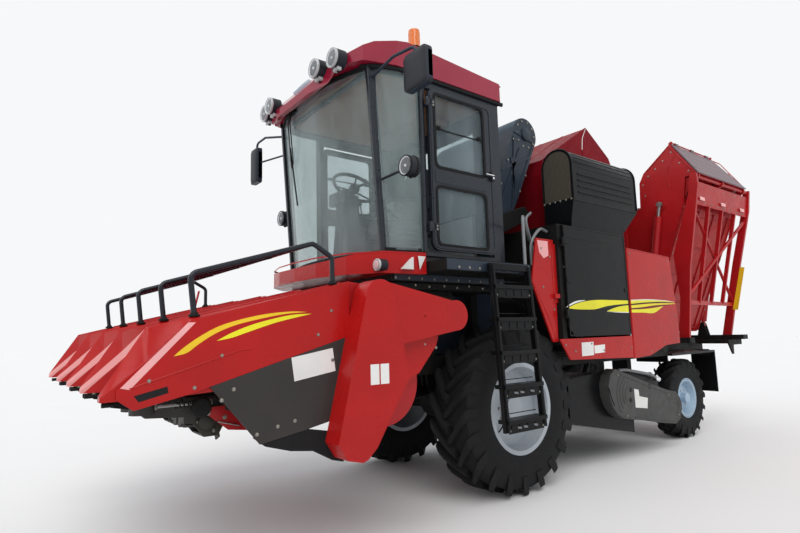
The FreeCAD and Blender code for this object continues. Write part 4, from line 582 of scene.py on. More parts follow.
# ------------------------------------------------------------------ wheels
def tread_wheel(name, body, centre, radius, width, rim, lugs, lug_height, lug_width, sweep):
    """Casing with bead, sidewall ribs and shoulder, and a row of bar lugs leaning from the middle to each shoulder."""
    node = name.replace("_", "_tyre_", 1)
    x, middle, axle_z = centre
    half, crown = width / 2, radius - lug_height
    deep = crown - rim
    profile = [(rim - 4, half * 0.80), (rim + 12, half * 0.88), (rim + 20, half * 0.86), (rim + 32, half * 0.90),
               (rim + deep * 0.38, half * 0.965), (rim + deep * 0.55, half * 0.985),
               (rim + deep * 0.60, half * 0.965), (rim + deep * 0.66, half * 0.965),
               (rim + deep * 0.86, half * 0.93), (crown - 10, half * 0.86), (crown - 3, half * 0.66),
               (crown, half * 0.3), (crown, 0)]
    both = profile + [(r, -h) for r, h in profile[-2::-1]]
    inner = [(rim - 4, -half * 0.8), (rim + 10, -half * 0.55), (rim + 10, half * 0.55)]
    b = Batch("tyre_" + name, body, RUBBER, "tyre_rubber")
    b.turned(both + inner, centre, (0, 1, 0), sides=96, closed=True)

    def surface(h):
        for (r0, h0), (r1, h1) in zip(profile[5:], profile[6:]):
            if h1 <= h <= h0:
                return r0 + (r1 - r0) * (h0 - h) / max(h0 - h1, 1e-6)
        return crown
    # station across the half width, and how far the top is below the tread radius
    stations = ((-0.06, 0), (0.2, 0), (0.5, 0), (0.74, 1), (0.87, 4), (0.95, lug_height * 0.28),
                (0.995, lug_height * 0.75))
    for hand in (1, -1):
        for k in range(lugs):
            start = 2 * math.pi * (k + (0.5 if hand < 0 else 0)) / lugs
            rings = []
            for s, drop in stations:
                h, top = s * half, radius - drop
                turn = start + sweep * max(s, 0)
                foot = surface(min(abs(h), half * 0.95)) - (12 if s < 0.9 else 34)
                thick = lug_width * (0.8 + 0.28 * max(s, 0))
                ring = []
                for r, w in ((foot, 0.62), (top - 7, 0.45), (top, 0.36), (top, -0.36), (top - 7, -0.45), (foot, -0.62)):
                    a, c = polar(x, axle_z, r, turn + w * thick / radius)
                    ring.append(P(a, middle + hand * h, c))
                rings.append(ring)
            b.loft(rings)
    tyre = b.done(smooth=35)
    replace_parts(tyre, node)


def wheels():
    """Tyres, nuts, beads and valves of the four wheels."""
    for side, sign in SIDES:
        out = (0, sign, 0)
        body, z = "front_wheel_" + side, FRONT_AXLE_Z
        tread_wheel("front_" + side, body, (0, sign * 797, z), 705, 430, 356, 20, 46, 72, 0.36)
        bolt_set("wheel_nuts_front_" + side, body, (on_side(sign * 839, spaced(0, z, 140, 10)), out, 13, 22),
                 (on_side(sign * 898, spaced(0, z, 70, 8, 0.5)), out, 7, 7, False))
        with piece("rim_detail_front_" + side, SILVER, "silver_paint", body) as b:
            b.turned([(355, 972), (358, 981), (354, 986), (346, 985), (342, 976)], (0, 0, z), out, sides=72)
            b.turned([(172, 842), (178, 848), (186, 848), (192, 841)], (0, 0, z), out, sides=56)
        with piece("valve_front_" + side, SEAL, "dark_plastic", body) as b:
            b.tube(curve([(250, sign * 850, z - 170), (200, sign * 862, z - 200), (130, sign * 872, z - 150),
                          (95, sign * 876, z - 40), (96, sign * 872, z + 60)], 5), 6)
            b.rod((262, sign * 842, z - 160), (250, sign * 880, z - 168), 8)
        body, x, z = "rear_wheel_" + side, REAR_AXLE_X, REAR_AXLE_Z
        tread_wheel("rear_" + side, body, (x, sign * 722, z), 475, 260, 214, 18, 30, 46, 0.38)
        bolt_set("wheel_nuts_rear_" + side, body, (on_side(sign * 768, spaced(x, z, 95, 6)), out, 11, 16))
        with piece("rim_detail_rear_" + side, PALE, "pale_paint", body) as b:
            b.turned([(212, 822), (215, 832), (211, 836), (203, 835), (200, 826)], (x, 0, z), out, sides=56)
            b.turned([(120, 770), (125, 776), (132, 776), (137, 770)], (x, 0, z), out, sides=48)
        with piece("valve_rear_" + side, SEAL, "dark_plastic", body) as b:
            b.rod((x + 160, sign * 770, z), (x + 150, sign * 795, z), 6)


# ------------------------------------------------------------------ stripes
HEADER_SIDE_Y, DOOR_SKIN_Y, SIDE_PANEL_Y, SHIELD_Y = 1250, 1111, 1105, 1050
# body, level, name, material, thickness, upper line and lower line
SWEEPS = (
    ("header", HEADER_SIDE_Y, "header_sweep_outer", YELLOW, 1.0,
     [(2879, 1243), (2836, 1281), (2758, 1335), (2656, 1388), (2525, 1426), (2387, 1452), (2252, 1464), (2150, 1462)],
     [(2879, 1243), (2816, 1258), (2758, 1300), (2676, 1350), (2570, 1392), (2434, 1424), (2289, 1450), (2150, 1462)]),
    ("header", HEADER_SIDE_Y, "header_sweep_inner", LEMON, 1.0,
     [(2670, 1312), (2591, 1352), (2480, 1393), (2363, 1423), (2239, 1446), (2120, 1452)],
     [(2670, 1312), (2591, 1326), (2502, 1354), (2410, 1383), (2314, 1410), (2120, 1452)]),
    ("header", -HEADER_SIDE_Y, "header_sweep_right", YELLOW, 1.0,
     [(2879, 1243), (2836, 1281), (2656, 1388), (2387, 1452), (2150, 1462)],
     [(2879, 1243), (2758, 1300), (2570, 1392), (2289, 1450), (2150, 1462)]),
    ("left_service_door", DOOR_SKIN_Y, "door_sweep_white", WHITE, 0.8,
     [(-527, 1514), (-600, 1550), (-699, 1578), (-830, 1588)],
     [(-527, 1514), (-600, 1534), (-699, 1560), (-830, 1583)]),
    ("left_service_door", DOOR_SKIN_Y, "door_sweep_main", LEMON, 0.8,
     [(-560, 1514), (-699, 1553), (-850, 1578), (-1050, 1592), (-1300, 1594), (-1606, 1595)],
     [(-560, 1508), (-700, 1500), (-850, 1499), (-1010, 1504), (-1200, 1532), (-1606, 1560)]),
    ("left_service_door", DOOR_SKIN_Y, "door_sweep_gap", INK_AND_SHADE, 1.0,
     [(-1010, 1504), (-1200, 1534), (-1400, 1551), (-1606, 1562)],
     [(-1010, 1500), (-1180, 1512), (-1400, 1538), (-1606, 1552)]),
    ("left_service_door", DOOR_SKIN_Y, "door_sweep_low", LEMON, 0.8,
     [(-1190, 1486), (-1300, 1512), (-1435, 1534), (-1606, 1548)],
     [(-1190, 1482), (-1300, 1479), (-1430, 1478), (-1606, 1476)]),
    ("left_service_door", DOOR_SKIN_Y, "door_sweep_foot", WHITE, 0.8,
     [(-1190, 1484), (-1400, 1478), (-1606, 1476)], [(-1190, 1480), (-1400, 1471), (-1606, 1468)]),
    ("chassis", SIDE_PANEL_Y, "panel_sweep_main", LEMON, 0.8,
     [(-1650, 1595), (-2000, 1606), (-2350, 1604), (-2590, 1592)],
     [(-1650, 1562), (-1950, 1580), (-2300, 1592), (-2590, 1590)]),
    ("chassis", SIDE_PANEL_Y, "panel_sweep_white", WHITE, 1.0,
     [(-1650, 1603), (-2000, 1615), (-2350, 1610), (-2600, 1594)],
     [(-1650, 1595), (-2000, 1606), (-2350, 1604), (-2600, 1592)]),
    ("chassis", SIDE_PANEL_Y, "panel_sweep_black", INK_AND_SHADE, 1.0,
     [(-1650, 1562), (-1950, 1580), (-2300, 1592), (-2560, 1590)],
     [(-1650, 1548), (-1950, 1568), (-2300, 1582), (-2560, 1586)]),
    ("chassis", SIDE_PANEL_Y, "panel_sweep_mid", LEMON, 0.8,
     [(-1650, 1546), (-1900, 1560), (-2200, 1574), (-2600, 1578)],
     [(-1650, 1518), (-1850, 1528), (-2150, 1552), (-2600, 1572)]),
    ("chassis", SIDE_PANEL_Y, "panel_sweep_line", INK_AND_SHADE, 1.0,
     [(-1650, 1512), (-1900, 1524), (-2200, 1548), (-2480, 1562)],
     [(-1650, 1504), (-1900, 1514), (-2200, 1540), (-2480, 1558)]),
    ("chassis", SIDE_PANEL_Y, "panel_sweep_low", LEMON, 0.8,
     [(-1650, 1502), (-1900, 1510), (-2100, 1522), (-2330, 1544)],
     [(-1650, 1472), (-1900, 1471), (-2120, 1470), (-2330, 1544)]),
)


def stripes():
    """Flat painted shapes on the side panels, each between two smooth lines of (x, z)."""
    for body, y, name, material, thick, *lines in SWEEPS:
        upper, lower = [curve(line) for line in lines]
        n = max(len(upper), len(lower))
        upper, lower = [on_side(y, [line[round(k * (len(line) - 1) / (n - 1))] for k in range(n)])
                        for line in (upper, lower)]
        with piece(name, material, None, body, smooth=0) as b:
            b.strip(upper, lower, (0, math.copysign(1, y), 0), thick)


# ------------------------------------------------------------------ header
SNOUTS = (-1200, -600, 0, 600, 1200)
ROWS = (-900, -300, 300, 900)
AUGER_X, AUGER_Z = 1600, 1010


def ridge_z(x):
    """Height of a snout's ridge, which falls in a straight line from x 1862 to x 2780."""
    return 1652 - 215 * (x - 1862) / 918


def header():
    for side, sign in SIDES:
        y, out = sign * HEADER_SIDE_Y, (0, sign, 0)
        # the crease of the long panel and its return flange
        with piece("header_crease_" + side, RED, "red_paint", "header") as b:
            b.loft([[P(x, y, z - 3), P(x, y + sign * 4, z), P(x, y, z + 5)]
                    for x, z in ((3072, 1102), (2800, 1182), (2540, 1260), (2480, 1262))])
        marks("header_band_" + side, TAPE, "header", "xz",
              ([(3110, 1108), (2812, 1408), (2776, 1408), (3070, 1098)], y, y + sign * 1.2))
        # the slot is a flat black shape on the panel: painted shade for the opening
        marks("header_slot_" + side, INK_AND_SHADE, "header", "xz",
              ([(3052, 1068), (2904, 1101), (2898, 1070), (3030, 1038)], y - sign * 2, y + sign * 0.8))
        bolt_set("header_bolts_" + side, "header",
                 (on_side(y, ((2987, 1132), (2641, 1236), (2776, 1084), (1990, 1470), (2080, 1330))), out, 7, 6),
                 (on_side(y, ((2577, 1060), (2332, 842), (1940, 929), (1985, 1180), (2450, 815), (2230, 860),
                              (2640, 1010), (1890, 1260))), out, 8, 6))
        with piece("header_skirt_" + side, SEAL, "tyre_rubber", "header") as b:
            b.prism([(2470, 800), (2400, 745), (2254, 700), (2116, 680), (1990, 610), (1915, 590), (1930, 760),
                     (2180, 812)], "xz", y - sign * 14, y - sign * 4)
    # seam flanges on top of the snouts and one pull rod between them
    with piece("snout_rods", DEEP_RED, "red_paint", "header") as b:
        b.rod((2360, -270, 1430), (2290, -300, 1700), 8)
        for c in SNOUTS:
            b.loft([[P(x, c + wide, ridge_z(x) + up) for wide, up in ((-5, -2), (5, -2), (3, 6), (-3, 6))]
                    for x in (1900, 2200, 2600, 2740)])
    with piece("hoop_feet", SEAL, "black_paint", "header") as b:
        for c in SNOUTS:
            for x in (2770, 1952) if c in (SNOUTS[0], SNOUTS[-1]) else (2770,):
                b.turned([(15.5, 0), (30, 2), (30, 10), (22, 14), (15.5, 26)], (x, c, ridge_z(x) - 2), UP, sides=16)
    marks("header_blank_plates", WHITE, "header", "xz",
          *[([(2250, 1206), (1984, 1250), (1966, 1116), (2232, 1074)], y, y + math.copysign(0.8, y))
            for y in (HEADER_SIDE_Y, -HEADER_SIDE_Y)])
    bolt_set("cover_bolts", "header", (((1759, 1394, 1179), (1377, 1383, 1430), (1335, 1326, 1250), (1240, 1326, 1225)),
                                       (0, 1, 0), 8, 5))


def gathering_chain(chain, y, z=1012):
    """Flat links round the front idler of one gathering arm, with a finger paddle on every fifth."""
    loop = [(2100, y - 70)] + arc(2960, y, 70, -90, 90, 8) + [(2100, y + 70)]
    points = []
    for (x0, y0), (x1, y1) in zip(loop, loop[1:]):
        n = max(1, round(math.hypot(x1 - x0, y1 - y0) / 36))
        points += [(x0 + (x1 - x0) * k / n, y0 + (y1 - y0) * k / n) for k in range(n)]
    for i, ((a, b), (c, d)) in enumerate(zip(points, points[1:])):
        chain.bar((a, b, z), (a + (c - a) * 0.85, b + (d - b) * 0.85, z), 12, 14)
        if i % 5 == 2:
            length = math.hypot(c - a, d - b)
            chain.bar((a, b, z + 4), (a + (d - b) / length * 34, b - (c - a) / length * 34, z + 4), 7, 24)


def row_units():
    with (piece("row_unit_fittings", FRAME_BLACK, "black_paint", "header") as dark,
          piece("roll_brackets", OLIVE, "black_paint", "header") as olive,
          piece("row_unit_plates", DEEP_RED, "red_paint", "header") as red,
          piece("row_unit_bolts", ZINC, "bare_steel", "header") as bolts,
          piece("row_unit_steel", STEEL, "bare_steel", "header") as steel,
          piece("gathering_chains", FRAME_BLACK, "black_paint", "header") as chain):
        for row in ROWS:
            for s in (1, -1):
                out = (0, s, 0)
                y = row + s * 100
                gathering_chain(chain, y)
                steel.turned([(16, 0), (26, 3), (26, 14), (14, 18), (0, 18)], (2960, y, 1006), UP, sides=20)
                bolts.bolt((2960, y, 1024), UP, 12, 10)
                # tension screw and coil spring along the arm
                y, z = row + s * 150, 985
                steel.rod((2620, y, z), (2900, y, z), 7)
                dark.tube([(2640 + k * 3.1, *polar(y, z, 17, k * 0.9)) for k in range(56)], 3.4, sides=6)
                bolts.bolt((2905, y, z), AHEAD, 13, 10)
                bolts.bolt((2630, y, z), BACK, 13, 10)
                # nose bracket with its pivot bolts under the snout tip
                tip = row + s * 262
                dark.bar((3140, tip, 1036), (2960, row + s * 190, 1028), 34, 10)
                dark.bar((3128, tip, 1030), (3040, tip - s * 8, 1012), 10, 30)
                bolts.bolt((3126, tip, 1041), UP, 10, 8)
                bolts.bolt((3062, row + s * 232, 1039), UP, 9, 8)
                dark.rod((3172, tip + s * 10, 1030), (3120, tip + s * 10, 1030), 12)
                # red side cheek and slotted bracket near the gearbox
                y = row + s * 174
                red.prism([(2700, 960), (2540, 830), (2330, 800), (2330, 960)], "xz", y - s * 6, y)
                steel.bar((2600, y + s * 4, 880), (2480, y + s * 4, 845), 5, 16, up=(0, 1, 0))
                bolts.bolts(on_side(y, ((2650, 930), (2560, 900), (2440, 850), (2360, 900))), out, 9, 8)
                dark.turned([(40, 0), (52, 4), (52, 20), (44, 26), (0, 26)], (2690, y + s * 2, 965), out, sides=24)
                # hanging bracket that carries the front bearing of the stalk roll
                y = row + s * 102
                olive.prism([(2530, 950), (2700, 975), (2712, 880), (2650, 800), (2570, 796), (2540, 850)], "xz",
                            y - s * 10, y)
                olive.bar((2585, y, 804), (2585, y + s * 48, 826), 10, 60)
                olive.turned([(34, 0), (42, 4), (42, 22), (30, 28), (0, 28)], (2640, y, 880), out, sides=20)
                bolts.bolts(on_side(y, ((2560, 930), (2672, 944), (2590, 824), (2676, 880))), out, 9, 8)
                # knife strip beside each stalk roll, and the flutes on the roll
                dark.bar((2120, row + s * 88, 900), (2740, row + s * 88, 925), 4, 26)
                bolts.bolts([(x, row + s * 120, 1010) for x in (1900, 2014)], UP, 10, 8)
                for k in range(6):
                    t, y = math.radians(60 * k), row + s * 48
                    dark.bar((2080, *polar(y, 833, 34, t)), (2740, *polar(y, 888, 34, t + 0.5)), 6, 6)
            olive.box((2574, 2646), (row - 100, row + 100), (796, 806))


def auger_and_frame():
    with piece("auger_flights", DEEP_RED, "red_paint", "header") as b:
        for hand in (-1, 1):
            rings = []
            for k in range(91):
                y, t = hand * (-1180 + 1050 * k / 90), hand * 2 * math.pi * 3.1 * k / 90
                edge = [(r, dy, *polar(AUGER_X, AUGER_Z, r, t)) for r, dy in ((69, -3), (205, -2), (205, 2), (69, 3))]
                rings.append([P(x, y + dy, z) for r, dy, x, z in edge])
            b.loft(rings)
        for k in range(4):
            t = math.radians(90 * k + 20)
            rings = []
            for r in (68, 180):
                (x0, z0), (x1, z1) = polar(AUGER_X, AUGER_Z, r, t), polar(AUGER_X, AUGER_Z, r, t + 0.06)
                rings.append([P(x0, -120, z0), P(x0, 120, z0), P(x1, 120, z1), P(x1, -120, z1)])
            b.loft(rings)
    bolt_set("header_back_bolts", "header", *[([(x, y, 1540) for y in range(-1100, 1101, 200)], normal, 9, 7)
                                              for x, normal in ((1338, AHEAD), (1248, BACK))])


# ------------------------------------------------------------------ cab
CAB_DOOR_Y = 892
WIN_X, WIN_TOP, WIN_LOW = (215, 785), (2665, 3285), (2020, 2500)
ACROSS = [k / 12 - 1 for k in range(25)]
BEACON = (815, 700)
ROOF_LAMPS = ((1650, 430, 3450), (1605, 640, 3460))
SIDE_LAMP = (1235, 1053, 2550)
MARKER = (1362, 845, 1830)


def glass_point(s, t):
    """Point on the bulged windscreen: s from -1 to 1 across, t from 0 at the foot to 1 at the head."""
    return 1235 + 110 * t + 150 * (1 - s * s), 748 * s, 1936 + (3429 - 1936) * t


def at_side(spot, sign):
    return spot[0], sign * spot[1], spot[2]


def cab_outside():
    for side, sign in SIDES:
        body, y, out = side + "_door", sign * CAB_DOOR_Y, (0, sign, 0)
        with piece("door_seals_" + side, SEAL, "dark_plastic", body, bevel=1.5) as b:
            for z in (WIN_TOP, WIN_LOW):
                b.ring(rect(grown(WIN_X, 16), grown(z, 16), 60), rect(grown(WIN_X, -9), grown(z, -9), 48), "xz",
                       y - sign * 3, y + sign * 4)
        with piece("door_window_split_" + side, SEAL, "dark_plastic", body, bevel=1.5) as b:
            b.prism(rect(WIN_X, (2990, 3002)), "xz", sign * 868, sign * 876)
            for x in (262, 738):
                b.prism(rect(grown((x, x), 26), (2990, 3022), 12), "xz", sign * 874, sign * 886)
                b.rod((x, sign * 884, 3006), (x, sign * 894, 3006), 8)
        with piece("door_panel_" + side, CAB_GREY, "black_paint", body, bevel=2) as b:
            b.ring(rect((118, 832), (1988, 3317), 66), rect((136, 814), (2006, 3299), 56), "xz", y, y + sign * 5)
            b.prism(rect((200, 800), (2530, 2636), 16), "xz", y, y + sign * 4)
        with piece("door_lock_" + side, CHROME, "bare_steel", body) as b:
            b.turned([(9, 0), (9, 5), (6, 7), (0, 7)], (134, sign * 918, 2660), out, sides=20)
            b.rod((128, sign * 922, 2684), (232, sign * 924, 2684), 5)
        bolt_set("door_bolts_" + side, body,
                 ([(800, sign * 897, z) for z in (2141, 2167, 3181, 3207)], out, 7, 5))
        # frame of the corner pane and the cab's rear corner
        with piece("corner_pane_seal_" + side, SEAL, "dark_plastic", bevel=2) as b:
            for z in (1948, 3392):
                b.loft([[P(x, sign * (w + dy), z + dz) for dy, dz in ((6, 0), (-4, 0), (-4, 34), (6, 34))]
                        for x, w in ((1226, 768), (1170, 790), (1060, 820), (930, 842))])
        with piece("cab_posts_" + side, CAB_GREY, "black_paint", bevel=5, segments=3) as b:
            b.loft([[P(x + dx, sign * w, z) for dx, w in ((0, 742), (34, 742), (34, 774), (0, 774))]
                    for x, z in ((1232, 1940), (1336, 3426))])
            b.tube([(902, sign * 862, 1950), (902, sign * 862, 3420)], 16, sides=16)
    # gasket between the cab and the roof
    with piece("roof_gasket", SEAL, "tyre_rubber", bevel=3) as b:
        for sign in (1, -1):
            b.loft([[P(x, sign * (y + dy), z) for dy, z in ((-16, 3398), (4, 3400), (7, 3428), (-10, 3430))]
                    for x, y in ((-96, 868), (1120, 868), (1230, 838), (1330, 792), (1400, 720))])
        b.loft([[P(x + dx, y, z) for dx, z in ((-6, 3392), (14, 3394), (20, 3424), (0, 3428))]
                for x, y, _ in [glass_point(s, 1) for s in ACROSS]])
    with piece("windscreen_seal", SEAL, "tyre_rubber", bevel=2) as b:
        for t in (0.0, 0.982):
            b.loft([[P(x + dx, y, z + dz) for dx, dz in ((3, 0), (9, 0), (10, 26), (4, 26))]
                    for x, y, z in [glass_point(s, t) for s in ACROSS]])
        for s in (0.995, -0.995):
            b.loft([[P(x + dx, y + dy, z) for dx, dy in ((-6, -12), (12, -12), (12, 12), (-6, 12))]
                    for x, y, z in [glass_point(s, k / 10) for k in range(11)]])
    with piece("wiper", SEAL, "dark_plastic") as b:
        x, y, z = glass_point(-0.35, 0.97)
        b.box((x - 10, x + 34), (y - 50, y + 50), (z - 34, z + 10))
        for dy, end in ((-22, (-0.52, 0.63)), (14, (-0.43, 0.64))):
            ex, ey, ez = glass_point(*end)
            b.tube([(x + 30, y + dy, z - 10), (x + 44, y + dy - 18, z - 120), (ex + 26, ey, ez)], [7, 6, 4.5], sides=8)
        blade = [glass_point(-0.56 + 0.012 * k, 0.77 - 0.035 * k) for k in range(12)]
        b.tube([(x + 15, y, z) for x, y, z in blade], 7, sides=8)


def roof_details():
    # blank oval plate on a low boss in the middle of the brow
    ahead, up = Vector((0.76, 0, 0.65)).normalized(), Vector((-0.65, 0, 0.76)).normalized()
    centre = Vector((1530, 0, 3494))

    def oval(scale, stand):
        turn = [math.pi * k / 24 for k in range(48)]
        return [P(*(centre + ahead * stand + Vector((0, 112 * scale * math.cos(t), 0)) + up * 80 * scale * math.sin(t)))
                for t in turn]
    with piece("roof_blank_rim", PALE_TRIM, "pale_paint") as b:
        b.loft([oval(1.04, -50), oval(1.04, 4), oval(1.0, 14), oval(0.9, 15), oval(0.86, 10)])
    with piece("roof_blank_disc", INK_AND_SHADE, "dark_plastic") as b:
        b.loft([oval(0.88, 0), oval(0.88, 10.5), oval(0.6, 12)])
    # drip groove along each side, a swage on top and a raised hatch
    with piece("roof_groove", CRIMSON, "red_paint", bevel=8) as b:
        for y in (872, -872):
            b.tube([(-70, y, 3582), (700, y, 3592), (1000, y, 3596), (1160, math.copysign(868, y), 3584)], 7, sides=8)
        for y in (300, -300):
            b.tube([(-60, y, 3606), (500, y, 3640), (1000, y, 3660)], 8, sides=8)
        b.prism(rect((150, 650), (-250, 250), 50), "xy", 3600, 3640)
    with piece("beacon_base", PALE_TRIM, "pale_paint") as b:
        b.turned([(74, 0), (76, 20), (70, 40), (54, 84), (50, 90)], (*BEACON, 3640), UP)
    with piece("beacon_collar", SEAL, "dark_plastic") as b:
        b.turned([(52, 0), (57, 3), (57, 34), (53, 38), (49, 38)], (*BEACON, 3728), UP)
    with piece("beacon_ribs", AMBER, "amber_plastic") as b:
        for x, y in spaced(*BEACON, 47.5, 16):
            b.rod((x, y, 3766), (x, y, 3905), 3, sides=8)
        b.turned([(48, 3904), (47, 3911), (38, 3916), (0, 3918)], (*BEACON, 0), UP)


def round_lamp(rim, bright, lens, at, r):
    """Rim, deep faceted bowl, bulb and domed lens of a round work lamp that shines forward."""
    rim.turned([(r, -6), (r + 1, 4), (r - 3, 9), (r - 9, 7), (r - 9, -2)], at, AHEAD, sides=40)
    bright.turned([(r - 9, 4), (r * 0.78, -1), (r * 0.5, -3), (14, -4), (0, -4)], at, AHEAD, sides=20)
    bright.turned([(0, 7), (9, 6), (12, -3)], at, AHEAD, sides=20)
    lens.turned([(r - 8, 6), (r * 0.8, 11), (r * 0.5, 16), (0, 18)], at, AHEAD, sides=40)


def mirrors_and_lamps():
    with (piece("lamp_lenses", LENS, "clear_glass") as lens, piece("lamp_bowls", BOWL, "bare_steel") as bright,
          piece("lamp_rims", SEAL, "lamp_plastic") as black, piece("lamp_cases", LAMP_CASE, "lamp_plastic") as case):
        for sign in (1, -1):
            for spot in ROOF_LAMPS:
                x, y, z = at = at_side(spot, sign)
                case.turned([(0, -66), (40, -62), (66, -40), (78, -12), (79.5, -2), (79, 0)], at, AHEAD, sides=40)
                round_lamp(case, bright, lens, at, 78)
                case.box((x - 66, x - 30), (y - 34, y + 34), (z - 96, z - 72))
                black.rod((x - 48, y, z - 70), (x - 62, y, z - 104), 13)
                case.bolt((x - 30, y, z - 84), AHEAD, 12, 10)
            x, y, z = at = at_side(SIDE_LAMP, sign)
            round_lamp(black, bright, lens, at, 78)
            black.turned([(79, -70), (82, -64), (82, -54), (79, -50)], at, AHEAD, sides=40)
            black.bolt((x - 45, y, z - 78), (0, 0, -1), 12, 12)
            round_lamp(case, bright, lens, at_side(MARKER, sign), 45)
    with (piece("mirror_backs", PLASTIC, "dark_plastic", smooth=50) as back,
          piece("mirror_glass", MIRROR, "clear_glass") as glass):
        for y, z, behind in (((1100, 1370), (3070, 3360), 1215), ((-1400, -1220), (2960, 3340), 1375)):
            front = behind + 50
            glass.prism(rect(grown(y, -14), grown(z, -14), 34, 6), "yz", behind - 1.5, behind)
            back.loft([[P(x, a, c) for a, c in rect(grown(y, -inset), grown(z, -inset), r, 6)] for x, inset, r in
                       ((behind - 3, 3, 44), (behind + 2, 0, 48), (front - 12, 0, 48), (front, 3, 46),
                        (front + 10, 14, 40), (front + 16, 34, 34), (front + 19, 70, 12))])


def fairing():
    shapes = []
    for sign in (1, -1):
        y = sign * 930
        shapes += [([(1025, 1800), (965, 1905), (1040, 1905)], y - sign, y + sign * 0.9),
                   ([(1085, 1800), (1190, 1800), (1085, 1895)], y - sign * 30, y + sign * 0.9)]
    marks("fairing_chevrons", WHITE, "chassis", "xz", *shapes)
    nose = mirrored([(960, 930), (1310, 860), (1500, 640), (1590, 330), (1610, 0)])
    # each lip is a section of distance ahead, share of the width and height
    with piece("fairing_lip", RED, "red_paint", bevel=3) as b:
        for section in (((0, 1, 1924), (1, 1.002, 1924), (1, 1.002, 1935), (-12, 0.985, 1935.5)),
                        ((-14, 0.985, 1770), (1, 1.002, 1770.5), (1, 1.002, 1786), (-14, 0.985, 1786))):
            b.loft([[P(x + dx, y * share, z) for dx, share, z in section] for x, y in nose])
    with piece("fairing_markers", TAPE, "lamp_plastic") as b:
        for sign in (1, -1):
            b.turned([(30, 4), (33, 10), (24, 14), (12, 15), (0, 15)], at_side(MARKER, sign), AHEAD)


# ------------------------------------------------------------------ cab inside
SWELL_LIMIT, SWELL_FRAMES = 0.012, 16  # metres that the cloth may move, and how long it runs


def pad(name, levels):
    """Stuffed pad swelled as cloth round a voxel skin; each level is its height, x range, half width and corner."""
    b = Batch(name, "chassis", SEAT_CLOTH, "seat_cloth")
    b.loft([[P(x, y, z) for x, y in rect((x0, x1), (-half, half), corner)] for z, x0, x1, half, corner in levels])
    ob = b.done(smooth=0)
    bpy.context.view_layer.objects.active = ob
    for o in bpy.context.selected_objects:
        o.select_set(False)
    ob.select_set(True)
    skin = ob.modifiers.new("skin", "REMESH")
    skin.mode = "VOXEL"
    skin.voxel_size = 0.008
    bpy.ops.object.modifier_apply(modifier="skin")
    rest = [v.co.copy() for v in ob.data.vertices]
    swell = ob.modifiers.new("swell", "CLOTH")
    swell.settings.use_pressure = True
    swell.settings.uniform_pressure_force = 4
    swell.settings.effector_weights.gravity = 0
    swell.settings.quality = 4
    swell.point_cache.frame_start = 1
    swell.point_cache.frame_end = SWELL_FRAMES
    for f in range(1, SWELL_FRAMES + 1):
        bpy.context.scene.frame_set(f)
    bpy.ops.object.modifier_apply(modifier="swell")
    bpy.context.scene.frame_set(1)
    for v, at in zip(ob.data.vertices, rest):
        move = v.co - at
        if move.length > SWELL_LIMIT:
            v.co = at + move.normalized() * SWELL_LIMIT
    ob.data.shade_smooth()
    fine = ob.modifiers.new("fine", "SUBSURF")
    fine.levels = fine.render_levels = 1


def seat():
    pad("seat_cushion", ((2262, 278, 735, 228, 60), (2300, 266, 747, 240, 60), (2340, 268, 742, 236, 60),
                         (2352, 300, 706, 205, 60)))
    back = ((2386, 262, 212), (2440, 254, 222), (2600, 226, 226), (2780, 196, 224), (2880, 180, 205), (2935, 172, 165))
    pad("seat_back", [(z, x, x + 92, half, 34) for z, x, half in back])
    base = Batch("seat_base", "chassis", PLASTIC, "dark_plastic")
    base.prism(rect((330, 620), (-170, 170), 30), "xy", 1932, 2060)
    for k in range(7):
        z, inset = 2062 + k * 24, 6 if k % 2 else 20
        base.prism(rect(grown((335, 615), -inset), grown((-165, 165), -inset), 30), "xy", z, z + 24)
    base.prism(rect((262, 742), (-236, 236), 40), "xy", 2232, 2254)
    for s in (-1, 1):
        base.tube([(290, s * 236, 2250), (300, s * 246, 2480), (420, s * 246, 2560), (620, s * 246, 2560)], 15)
        base.prism(rect((400, 640), (2548, 2584), 16), "xz", s * 246 - 26, s * 246 + 8)
    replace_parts(base.done(bevel=3), "seat")
    with piece("seat_piping", SEAL, "seat_cloth") as b:
        b.tube([(x, y, 2348) for x, y in rect((272, 742), (-234, 234), 58, 6)], 4.5, sides=8, closed=True)


